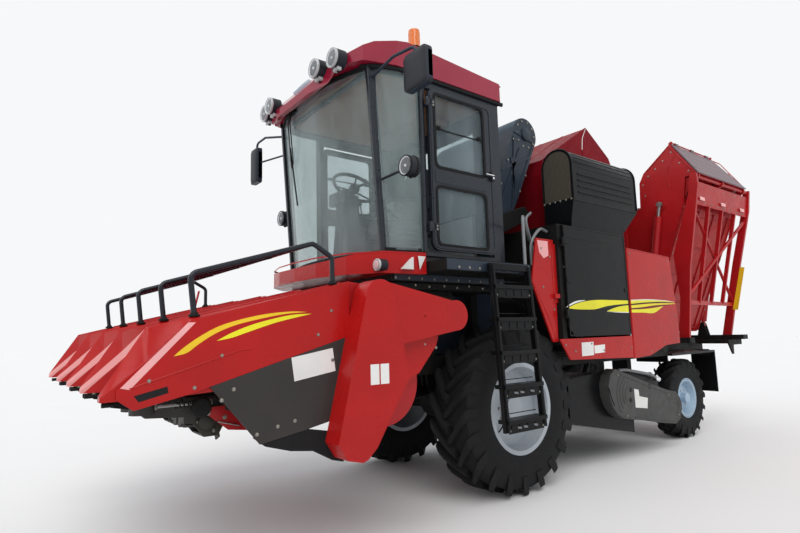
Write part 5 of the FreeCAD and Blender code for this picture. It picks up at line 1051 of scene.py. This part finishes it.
def cab_inside():
    seat()
    with piece("steering_wheel_detail", PLASTIC, "dark_plastic") as b:
        hub, axis, across = Vector((1000, 0, 2660)), Vector((-0.45, 0, 0.9)).normalized(), Vector((0, 1, 0))
        for degrees in (90, 210, 330):
            a = math.radians(degrees)
            spoke = across * math.cos(a) + axis.cross(across) * math.sin(a)
            b.rod(hub + spoke * 30 - axis * 30, hub + spoke * 198, 9, 7)
        b.turned([(0, 6), (40, 4), (46, -6), (40, -22), (0, -24)], hub - axis * 20, axis)
        b.turned([(0, 52), (16, 50), (18, 30), (10, 8)], hub + across * 150, axis, sides=20)
    with piece("roof_lining", LINING, "dark_plastic", bevel=4) as b:
        b.prism(mirrored([(-20, -740), (1180, -740), (1320, -600), (1380, 0)]), "xy", 3416, 3427)
        b.box((60, 420), (-300, 300), (3384, 3418))
        for y in (-200, 0, 200):
            b.turned([(0, -4), (34, -4), (44, 0), (44, 8)], (240, y, 3384), UP, sides=24)
    with piece("cab_trim", BEIGE, "dark_plastic", bevel=8) as b:
        b.prism(rect((330, 790), (-552, -340), 30), "xy", 2480, 2492)
        b.box((20, 300), (-560, -330), (2400, 2700))
        b.box((-8, 40), (-540, 540), (1940, 2400))
        b.prism(rect((1010, 1150), (-180, 180), 40), "xy", 1934, 1948)
    with piece("console_controls", INK_AND_SHADE, "dark_plastic", bevel=2) as b:
        for x, y, h in ((420, -480, 130), (520, -400, 100), (620, -450, 150), (700, -380, 90)):
            b.rod((x, y, 2488), (x + 20, y, 2488 + h), 8, 6)
            b.turned([(0, 46), (16, 40), (20, 20), (12, 0)], (x + 20, y, 2478 + h), (0.1, 0, 1), sides=20)
        for x in range(360, 600, 40):
            b.box((x, x + 26), (-540, -505), (2490, 2498))
    with piece("instrument_panel", PLASTIC, "dark_plastic", bevel=8) as b:
        b.prism(rect((-150, 150), (2480, 2600), 30), "yz", 1140, 1190)
        b.rod((1165, 0, 1990), (1165, 0, 2490), 34, 28)
    with piece("instrument_dials", WHITE, "lamp_plastic") as b:
        for y in (-90, 0, 90):
            b.turned([(0, 2), (30, 2), (34, 0)], (1139, y, 2545), BACK, sides=28)
    with piece("cab_mat", RUBBER, "tyre_rubber", smooth=0) as b:
        b.prism(mirrored([(10, -800), (900, -800), (1150, -700), (1230, -400), (1290, 0)]), "xy", 1931, 1938)
        for x in range(640, 1120, 12):
            b.box((x, x + 4), (-300, 300), (1938, 1941))


# ------------------------------------------------------------------ platform, ladder and rails
def ladder_y(z):
    """Middle of the ladder's leaning side channels."""
    return 1270 - 80 * (z - 570) / 1270


def ladder():
    with (piece("ladder_bolts", ZINC, "bare_steel") as bolts,
          piece("ladder_cutouts", GREY_TUBE, "bare_steel", smooth=0) as holes,
          piece("ladder_treads", BLACK, "black_paint", smooth=20) as tread):
        for k in range(5):
            z = 630 + 255 * k
            y = ladder_y(z)
            tread.box((102, 508), (y - 92, y + 16), (z + 15, z + 19))
            tread.box((102, 508), (y + 12, y + 17), (z - 70, z + 18))
            tread.box((102, 508), (y - 60, y - 54), (z + 60, z + 66))
            for i in range(9):
                for j in range(3):
                    tread.turned([(11, 0), (14, 0), (13, 6), (10, 7), (8, 1)], (130 + i * 44, y - 72 + j * 34, z + 18),
                                 UP, sides=10)
            for x in (150, 242, 334, 426):
                tread.prism(rect((x, x + 60), (z - 58, z - 8), 12), "xz", y + 16, y + 21)
            for x in (180, 300, 370) if k < 2 else ():
                holes.prism(rounded([(x, z - 44), (x + 46, z - 38), (x + 50, z - 22), (x + 4, z - 28)], 6), "xz",
                            y + 20.5, y + 21.6)
            for x, normal, front in ((86, BACK, 112), (524, AHEAD, 498)):
                bolts.bolt((x, y + 6, z), normal, 8, 6)
                bolts.bolt((front, y + 17, z - 48), (0, 1, 0), 7, 5)
    with piece("ladder_channels", BLACK, "black_paint") as b:
        for x in (90, 520):
            for dy in (-26, 26):
                b.bar((x, ladder_y(570) + dy, 572), (x, ladder_y(1840) + dy, 1838), 20, 4, up=(0, 1, 0))


def platform():
    with piece("platform_trim", SLATE, "black_paint") as b:
        b.box((0, 950), (1150, 1156), (1786, 1866))
        b.box((-30, 1200), (832, 837), (1728, 1776))
        for x in range(40, 940, 60):
            for y in range(860, 1140, 46):
                s = 1 if (x // 60 + y // 46) % 2 else -1
                b.bar((x - 14, y - 14 * s, 1871), (x + 14, y + 14 * s, 1871), 7, 3)
    bolt_set("platform_bolts", "chassis", ([(x, 1156, 1806) for x in range(60, 940, 110)], (0, 1, 0), 8, 6),
             *[([(x, y, 1745) for x in range(20, 1200, 130)], (0, y, 0), 8, 6) for y in (837, -830)])
    marks("platform_plate", WHITE, "chassis", "xz", (rect((20, 92), (1800, 1856), 4), 1156, 1157.5))
    with piece("cab_hoses", SEAL, "tyre_rubber") as b:
        for k, (y, r) in enumerate(((600, 13), (560, 11), (-200, 13), (-260, 11), (480, 9))):
            b.tube(curve([(980, y, 1720), (960, y + 10, 1560), (900, y - 20 - k * 8, 1300), (860, y * 0.9, 1120)],
                         5), r)
        for k in range(4):
            y = 700 - k * 30
            b.tube(curve([(-20, y, 1716), (-160, y + 8, 1640 - k * 12), (-420, y + 4, 1560), (-498, y, 1500 - k * 20)],
                         5), 10)
    bolt_set("under_cab_bolts", "chassis", ([(x, 840, 1700 - x % 3 * 8) for x in (120, 260, 420, 560, 700, 860, 1000)],
                                            (0, 1, 0), 7, 6))
    with piece("cab_underframe", FRAME_BLACK, "black_paint", bevel=3) as b:
        for y in (640, -640, 760):
            b.bar((-30, y, 1690), (1180, y, 1690), 60, 50)
        for x in (60, 500, 1100):
            b.bar((x, -780, 1690), (x, 780, 1690), 60, 50)
        b.turned([(0, -160), (90, -156), (96, -140), (96, 140), (90, 156), (0, 160)], (700, 690, 1600), AHEAD)
        for x in (600, 800):
            b.turned([(97, -12), (101, -12), (101, 12), (97, 12)], (x, 690, 1600), AHEAD)
    # clamp where the handrails' rear end meets the platform
    corner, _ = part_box("handrails")
    rear = (corner.x - AX) * 1000
    with piece("handrail_clamps", SEAL, "black_paint", bevel=2) as b:
        b.box((rear - 4, rear + 34), (1138, 1156), (1872, 1886))


# ------------------------------------------------------------------ body sides, hood, elevator and husker
def body_sides():
    for side, sign in SIDES:
        y, out, door = sign * DOOR_SKIN_Y, (0, sign, 0), side + "_service_door"
        with piece("service_door_detail_" + side, BLACK, "black_paint", door, bevel=1.5) as b:
            b.ring(rect((-1604, -562), (1256, 2274), 14), rect((-1590, -576), (1270, 2260), 10), "xz", y, y + sign * 3)
            b.prism(rect((-1604, -562), (2160, 2166)), "xz", y, y + sign * 2)
            b.turned([(24, 0), (26, 3), (22, 6), (8, 6), (8, 3), (0, 3)], (-1560, y, 1700), out, sides=24)
        with piece("service_door_hinges_" + side, BLACK, "black_paint", door, bevel=2) as b:
            for z in (1400, 1770, 2130):
                b.box((-640, -566), sorted((y, y + sign * 6)), (z - 26, z + 26))
        bolt_set("body_bolts_" + side, "chassis",
                 (on_side(sign * SIDE_PANEL_Y, (
                     (-1700, 2090), (-2500, 2060), (-2590, 1440), (-1990, 1060), (-2280, 1150), (-2600, 1180),
                     (-1600, 1120), (-1100, 1110), (-640, 1120), (-500, 1180), (-900, 1180))), out, 8, 5),
                 (on_side(sign * SHIELD_Y, ((-300, 1700), (-440, 1500), (-300, 2050), (-420, 1980))), out, 8, 5))
        with piece("side_panel_edges_" + side, RED, "red_paint") as b:
            y = sign * 1104
            b.tube([(-1650, y, 2144), (-2556, y, 2104)], 6, sides=8)
            b.tube([(-1655, y, 1012), (-1655, y, 2140)], 4, sides=8)
        marks("shield_reflector_" + side, TAPE, "chassis", "xz",
              ([(-250, 2120), (-270, 2010), (-330, 1960), (-400, 1990), (-400, 2120)], sign * SHIELD_Y, sign * 1050.9))
        with piece("shield_fold_" + side, RED, "red_paint") as b:
            b.tube([(-160, sign * 1048, 1740), (-330, sign * 1049, 1460), (-440, sign * 1048, 1226)], 5, sides=8)
    # two pipes between the shield and the front of the engine bay
    with piece("bay_front_piping", GREY_TUBE, "grey_tube") as b:
        b.tube(curve([(-490, 980, 2230), (-380, 985, 2240), (-250, 985, 2100), (-240, 985, 1900)], 5), 14)
        b.tube(curve([(-492, 900, 1980), (-400, 905, 1975), (-360, 905, 2100), (-300, 900, 2330), (-400, 880, 2420)],
                     5), 12)
    marks("flap_blank_plates", WHITE, "chassis", "xz",
          *[(shape, SIDE_PANEL_Y, SIDE_PANEL_Y + 0.8) for shape in (
              [(-740, 1194), (-930, 1196), (-925, 1072), (-736, 1070)],
              [(-940, 1160), (-1120, 1166), (-1112, 1090), (-938, 1086)])])


HOOD_Y, HOOD_Z = 960, 2900


def hood():
    with piece("hood_louvres", BLACK, "black_paint") as b:
        # the outer wall rises from the crease and turns over on a 170 mm radius
        for y, z in arc(HOOD_Y, HOOD_Z, 170, -8, 40, 3):
            b.tube([(-800, y, z), (-1810, y, z)], 5, sides=8)
        for z in (2620, 2680, 2740, 2800):
            b.box((-1790, -820), (1130, 1137), (z, z + 12))
            b.box((-1780, -830), (1130, 1132), (z - 18, z - 14))
        b.tube([(-736, 1131, 2540), (-1874, 1131, 2540)], 5, sides=8)
        for x in (-735, -1875):
            b.tube([(x, y, z) for y, z in [(1132, 2560), *arc(HOOD_Y, HOOD_Z, 172, 0, 180, 15), (788, 2560)]], 9)
    face = [(1112, 2560), (1112, 2900), *arc(HOOD_Y, HOOD_Z, 152, 12, 168, 13), (808, 2900), (808, 2560)]
    for end, x, s in (("front", -730, 1), ("rear", -1880, -1)):
        with piece("hood_mesh_" + end, MESH_HOOD, "dark_plastic", smooth=0) as b:
            b.prism(face, "yz", x - s, x + s * 0.9)
    bolt_set("hood_bolts", "chassis", ([(-729, y, 2552) for y in range(800, 1125, 62)], AHEAD, 9, 8))


HEAD_X, HEAD_Z = -740, 3350
ROOF_LINE = ((-960, 3110), (-1800, 3640), (-2240, 3350), (-2480, 2900))


def elevator_and_husker():
    with (piece("elevator_bolts", ZINC, "bare_steel") as bolts,
          piece("elevator_rods", SLATE, "elevator_paint") as rods):
        for sign in (1, -1):
            y, out = sign * 600, (0, sign, 0)
            for (x0, z0), (x1, z1) in (((-260, 2500), (-640, 3180)), ((-470, 2480), (-560, 3290)),
                                       ((-330, 2900), (-800, 3120)), ((-520, 2620), (-500, 3060))):
                rods.bar((x0, y + sign * 6, z0), (x1, y + sign * 6, z1), 26, 10, up=(0, 1, 0))
            rods.ring([(-120, 2420), (-560, 3400), (-900, 3300), (-780, 3060), (-540, 2600), (-420, 2420)],
                      [(-158, 2440), (-548, 3345), (-856, 3272), (-740, 3050), (-506, 2606), (-402, 2440)],
                      "xz", y, y + sign * 8)
            rods.turned([(60, 0), (66, 6), (66, 18), (48, 24), (0, 24)], (HEAD_X, y, HEAD_Z), out, sides=36)
            bolts.bolts(on_side(y + sign, spaced(HEAD_X, HEAD_Z, 140, 10)), out, 9, 7)
            bolts.bolts(on_side(y + sign * 8, ((-200, 2500), (-320, 2760), (-440, 3020), (-540, 3260), (-600, 2720),
                                               (-700, 2900), (-860, 3260), (-440, 2470))), out, 9, 7)
    # the upper sheet's paler paint is painted sky light
    with piece("elevator_head_sheet", HEAD_GRIT_AND_SKYLIGHT, "elevator_paint", smooth=60) as b:
        outer = arc(HEAD_X, HEAD_Z, 177, -10, 190, 25)
        inner = [(HEAD_X + (x - HEAD_X) * 0.985, HEAD_Z + (z - HEAD_Z) * 0.985) for x, z in outer[::-1]]
        b.prism(outer + inner, "xz", -590, 590)
    # a white line down each fold of the hood from its peak: painted highlight where the edge catches the light
    with piece("husker_edge_highlights", WHITE, "pale_paint") as b:
        for sign in (1, -1):
            b.tube([(-1800, sign * 637, 3634), (-1720, sign * 640, 3500), (-1700, sign * 640, 3360)], 5, sides=8)
    with piece("husker_seams", HUSKER_RED, "red_paint", bevel=2) as b:
        for (x0, z0), (x1, z1) in zip(ROOF_LINE, ROOF_LINE[1:]):
            for y in (634, -634):
                b.bar((x0, y, z0 - 2), (x1, y, z1 - 2), 14, 16)
            for y in (-320, 0, 320):
                b.bar((x0, y, z0), (x1, y, z1), 30, 6)
        for sign in (1, -1):
            b.box((-1760, -1000), (sign * 640, sign * 646), (2940, 2960))
            b.box((-1720, -1700), (sign * 640, sign * 646), (2300, 3360))
    bolt_set("husker_bolts", "chassis", *[
        ([(x, y, 2960 if x > -1700 else 2900) for x in range(-1060, -2400, -160)]
         + [(-1690, y, z) for z in range(2350, 2900, 130)], (0, y, 0), 8, 6) for y in (640, -640)])
    with piece("elevator_chain_cover", FRAME_BLACK, "black_paint", bevel=4) as b:
        shape = rounded([(-210, 2330), (-300, 2450), (-620, 2560), (-700, 2480), (-520, 2360), (-280, 2260)], 30)
        for sign in (1, -1):
            b.prism(shape, "xz", sign * 602, sign * 640)


# ------------------------------------------------------------------ bin and its stand
BIN_FRONT_X, BIN_REAR_X = -3060, -4500
WALL_OUT = Vector((0, 1540, -610)).normalized()


def wall_y(z):
    """Outer face of the bin's slanted left wall."""
    return 490 + 610 * (z - 1240) / 1540


def wall_strip(batch, x0, x1, taper, thick, heights):
    """Raised strip up the slanted wall, with its outer face narrower by the taper at each edge."""
    rings = []
    for z in heights:
        foot = [P(x, wall_y(z), z) for x in (x0, x1)]
        top = [P(x, wall_y(z), z) + WALL_OUT * thick / 1000 for x in (x1 - taper, x0 + taper)]
        rings.append(foot + top)
    batch.loft(rings)


def bin_details():
    with piece("bin_side_panels", PINK_RED, "red_paint", "bin", smooth=0) as b:
        for x0, x1 in ((-3470, -3120), (-3900, -3500), (-4330, -3930), (-4485, -4360)):
            wall_strip(b, x0, x1, 14, 5, (1330, 1700, 2100, 2500, 2740))
    with piece("bin_seams", DEEP_RED, "red_paint", "bin", bevel=2) as b:
        for x in (-3090, -3485, -3915, -4345, -4480):
            wall_strip(b, x - 16, x + 16, 6, 22, (1260, 2000, 2770))
        for z in (1300, 1640, 1985, 2330, 2690):
            b.bar((-3070, wall_y(z) + 5, z), (-4490, wall_y(z) + 5, z), 22, 14)
        for x, r, line in (
                (-3058, 5, curve([(1051, 3428), (985, 3330), (939, 3234), (940, 3130), (962, 3032)])),
                (-3057, 6, ((681, 3318), (830, 3435), (985, 3568), (1140, 3340), (1262, 3168))),
                (-3057, 6, ((560, 2856), (200, 2856), (-400, 2856), (-1140, 2856)))):
            b.tube([(x, y, z) for y, z in line], r, sides=8)
        for y, foot in ((-900, 1900), (-450, 1300), (0, 1300), (330, 1300)):
            for x in (BIN_FRONT_X + 8, BIN_REAR_X - 8):
                b.bar((x, y, foot), (x, y, 2800), 50, 16, up=AHEAD)
        for x in (-3200, -3600, -4000, -4400):
            b.bar((x, -1158, 1720), (x, -1158, 2830), 16, 50, up=AHEAD)
        for z in (1740, 2280, 2820):
            b.bar((-3070, -1160, z), (-4490, -1160, z), 20, 24)
        for x in (-3064, -4496):
            b.tube([(x, -1146, 2854), (x, 300, 2854)], 14)
    ends = range(-1080, 520, 160)
    bolt_set("bin_bolts", "bin",
             ([(x, wall_y(z) + 20, z - 8) for z in range(1380, 2740, 170) for x in (-3090, -4480)], WALL_OUT, 8, 6),
             ([(BIN_FRONT_X, y, 2830) for y in ends], AHEAD, 8, 6),
             ([(BIN_REAR_X, y, 2830) for y in ends], BACK, 8, 6),
             ([(BIN_FRONT_X, y, z) for y, z in ((700, 3250), (800, 3320), (900, 3400), (1010, 3480), (1200, 3190),
                                                (1100, 3320), (640, 3000), (620, 3150))], AHEAD, 8, 6))
    rear, front = [(corner.x - AX) * 1000 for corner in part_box("bin_lid")]
    x0, x1 = rear + 14, front - 14
    out, hinge, edge = Vector((440, 290)).normalized(), Vector((1012, 3590)), Vector((1286, 3174))

    def on_lid(x, share):
        y, z = hinge + (edge - hinge) * share
        return x, y + out.x, z + out.y
    with piece("lid_frame", DEEP_RED, "red_paint", "lid", bevel=1.5) as b:
        for share in (0.03, 0.5, 0.97):
            b.bar(on_lid(x0, share), on_lid(x1, share), 24, 8, up=(0, *out))
        for k in range(5):
            x = x0 + (x1 - x0) * k / 4
            b.bar(on_lid(x, 0.02), on_lid(x, 0.98), 26, 8, up=(0, *out))


def stand_details():
    shape = [(1094, 2104), (1134, 2100), (998, 1523), (950, 1526)]
    marks("stand_yellow_plate", YELLOW, "chassis", "yz",
          (shape, -4609, -4608), ([(y + 2, z - 2) for y, z in shape], -4649.5, -4648))
    marks("stand_reflectors", TAPE, "chassis", "xz",
          *[(rect((x - 130, x), (2830, 2872)), 1263, 1264.2) for x in (-3150, -3750, -4350)])
    bolt_set("stand_bolts", "chassis", ([(x, 1262, z) for x in range(-3080, -4600, -190) for z in (3010, 2800)],
                                        (0, 1, 0), 9, 7))


# ------------------------------------------------------------------ guard, underside and rear
GUARD_Y = 1025


def guard_details():
    out = (0, 1, 0)
    with piece("guard_pressings", GUARD_GREY, "charcoal_paint", "shredder") as b:
        lines = [(arc(-1640, 645, r, -42, 66, 24), 6) for r in (84, 136, 188, 240)]
        lines += [(arc(-2560, 420, r, 60, 250, 24), 5) for r in (60, 105, 150)]
        lines += [(curve(line), 6) for line in ([(-1460, 858), (-1740, 778), (-2030, 690), (-2400, 590)],
                                                [(-1500, 440), (-1960, 370), (-2300, 305), (-2540, 268)])]
        for line, r in lines:
            b.tube(on_side(GUARD_Y - 1, line), r, sides=8)
    with piece("guard_slots", INK_AND_SHADE, "dark_plastic", "shredder") as b:
        b.tube(on_side(GUARD_Y, curve([(-1262, 735), (-1290, 650), (-1338, 560)])), 7, sides=8)
        b.turned([(0, 1), (34, 1), (36, -1)], (-2045, GUARD_Y, 690), out, sides=24)
        for x, z in ((-1664, 684), (-1650, 584)):
            b.turned([(22, 0), (24, 3), (18, 8), (0, 9)], (x, GUARD_Y, z), out, sides=24)
    marks("guard_plates", WHITE, "shredder", "xz",
          ([(-1726, 690), (-1812, 672), (-1818, 606), (-1984, 574), (-1962, 468), (-1730, 500)],
           GUARD_Y, GUARD_Y + 0.8))
    bolt_set("guard_bolts", "shredder",
             (on_side(GUARD_Y, ((-1440, 850), (-2440, 560), (-2630, 330), (-1560, 436))), out, 9, 7))
    # pipe run and its valve block above the guard
    with piece("guard_pipe", GREY_TUBE, "grey_tube", "shredder") as b:
        b.tube(curve([(-1560, 960, 885), (-1700, 962, 880), (-1820, 962, 862), (-2195, 962, 800), (-2300, 960, 760)],
                     5), 17)
        b.turned([(17, -20), (24, -16), (24, 16), (17, 20)], (-2190, 962, 802), (-0.98, 0, -0.17), sides=20)
    with piece("guard_valve", CHROME, "bare_steel", "shredder") as b:
        b.rod((-2290, 968, 790), (-2380, 968, 742), 15)
        b.rod((-2300, 985, 745), (-2300, 940, 745), 19)
        b.bolt((-2330, 985, 735), out, 16, 14)
    with piece("side_pipes", SEAL, "tyre_rubber") as b:
        for k in range(3):
            b.tube(curve([(-450 - k * 30, 900, 1180), (-560, 930, 1120 - k * 22), (-900, 935, 1105 - k * 20),
                          (-1400, 935, 1098 - k * 18), (-2000, 930, 1090 - k * 16), (-2500, 925, 1080 - k * 14)], 5),
                   10, sides=8)


def shredder_details():
    """Flaps under the rear edge and bolts that follow the housing's sloping edges on the far side."""
    with piece("shredder_skirts", SEAL, "tyre_rubber", "shredder") as b:
        for y in range(-880, 896, 148):
            b.box((-2446, -2438), (y, y + 140), (262, 430))
    edges = [(x, 480 + (x + 760) * 0.194) for x in range(-820, -1860, -180)]
    edges += [(x, 840 - max(0, -1500 - x) * 0.08) for x in range(-820, -2400, -180)]
    bolt_set("shredder_bolts", "shredder", (on_side(-915, edges), (0, -1, 0), 9, 7))


def rear_details():
    with (piece("turn_lamp_lenses", AMBER, "amber_plastic", bevel=3) as amber,
          piece("tail_lamp_lenses", TAIL_RED, "lamp_plastic", bevel=3) as red,
          piece("tail_lamp_cases", SEAL, "lamp_plastic", bevel=3) as case):
        for y, right, left in ((800, red, amber), (-800, amber, red)):
            case.prism(rect((y - 90, y + 90), (930, 1010), 18), "yz", -3905, -3880)
            right.prism(rect((y - 82, y - 4), (938, 1002), 14), "yz", -3912, -3905)
            left.prism(rect((y + 4, y + 82), (938, 1002), 14), "yz", -3912, -3905)
    with piece("mudflap_ribs", SEAL, "tyre_rubber") as b:
        for sign in (1, -1):
            for y in range(680, 968, 48):
                b.box((-3907, -3905), grown((sign * y, sign * y), 6), (520, 900))
            b.bolts([(-3893, sign * y, 975) for y in (690, 800, 910)], AHEAD, 8, 6)
    with piece("hub_fittings", FRAME_BLACK, "black_paint") as b:
        for sign in (1, -1):
            b.turned([(70, 0), (78, 6), (78, 20), (60, 30)], (0, sign * 420, FRONT_AXLE_Z), (0, sign, 0))


for build in (wheels, stripes, header, row_units, auger_and_frame, cab_outside, roof_details, mirrors_and_lamps,
              fairing, cab_inside, ladder, platform, body_sides, hood, elevator_and_husker, bin_details, stand_details,
              guard_details, shredder_details, rear_details):
    build()


# ------------------------------------------------------------------ stage
FLOOR_HALF = 60
CAM_AT = (4.340, 4.022, 1.326 + GROUND)
CAM_LENS = 24.0
CAM_YAW, CAM_PITCH, CAM_ROLL = math.radians(-127.75), math.radians(7.12), math.radians(-1.57)


def sun(name, direction, strength, spread_deg, colour):
    data = bpy.data.lights.new(name, "SUN")
    data.energy = strength
    data.angle = math.radians(spread_deg)
    data.color = colour
    in_scene(name, data).rotation_euler = Vector(direction).to_track_quat("-Z", "Y").to_euler()


def stage():
    bm = bmesh.new()
    bmesh.ops.create_grid(bm, x_segments=8, y_segments=8, size=FLOOR_HALF)
    me = bpy.data.meshes.new("floor")
    bm.to_mesh(me)
    bm.free()
    floor = in_scene("floor", me)
    m, t = new_material("floor_paint")
    t.surface({"Base Color": t.mix(t.noise(0.8), (0.9, 0.9, 0.9), (0.93, 0.93, 0.93)), "Roughness": 0.75})
    me.materials.append(m)

    world = bpy.data.worlds.new("studio")
    bpy.context.scene.world = world
    world.use_nodes = True
    world.node_tree.nodes.clear()
    t = Nodes(world.node_tree)
    ray = t.add("LightPath").outputs
    light = t.add("Background", {"Color": (0.95, 0.97, 1.0), "Strength": 0.6})
    seen = t.add("Background", {"Color": (0.93, 0.94, 0.95), "Strength": 1.0})
    either = t.math("MAXIMUM", ray["Is Camera Ray"], ray["Is Glossy Ray"])
    t.blend(t.math("MAXIMUM", either, ray["Is Transmission Ray"]), light, seen, t.add("OutputWorld"))
    sun("soft_key", (-0.45, -0.7, -1.0), 1.5, 50, (1, 0.99, 0.97))
    sun("soft_fill", (-0.9, 0.5, -0.5), 0.45, 70, (0.96, 0.98, 1))


def camera():
    ahead = Vector((math.cos(CAM_YAW) * math.cos(CAM_PITCH), math.sin(CAM_YAW) * math.cos(CAM_PITCH),
                    math.sin(CAM_PITCH)))
    right = ahead.cross(Vector(UP)).normalized()
    up = right.cross(ahead)
    c, s = math.cos(CAM_ROLL), math.sin(CAM_ROLL)
    right, up = right * c + up * s, up * c - right * s
    data = bpy.data.cameras.new("camera")
    data.lens = CAM_LENS
    data.clip_start = 0.05
    ob = in_scene("camera", data)
    ob.matrix_world = Matrix.Translation(CAM_AT) @ Matrix((right, up, -ahead)).transposed().to_4x4()
    bpy.context.scene.camera = ob


stage()
camera()
bpy.context.scene.view_settings.view_transform = "Standard"
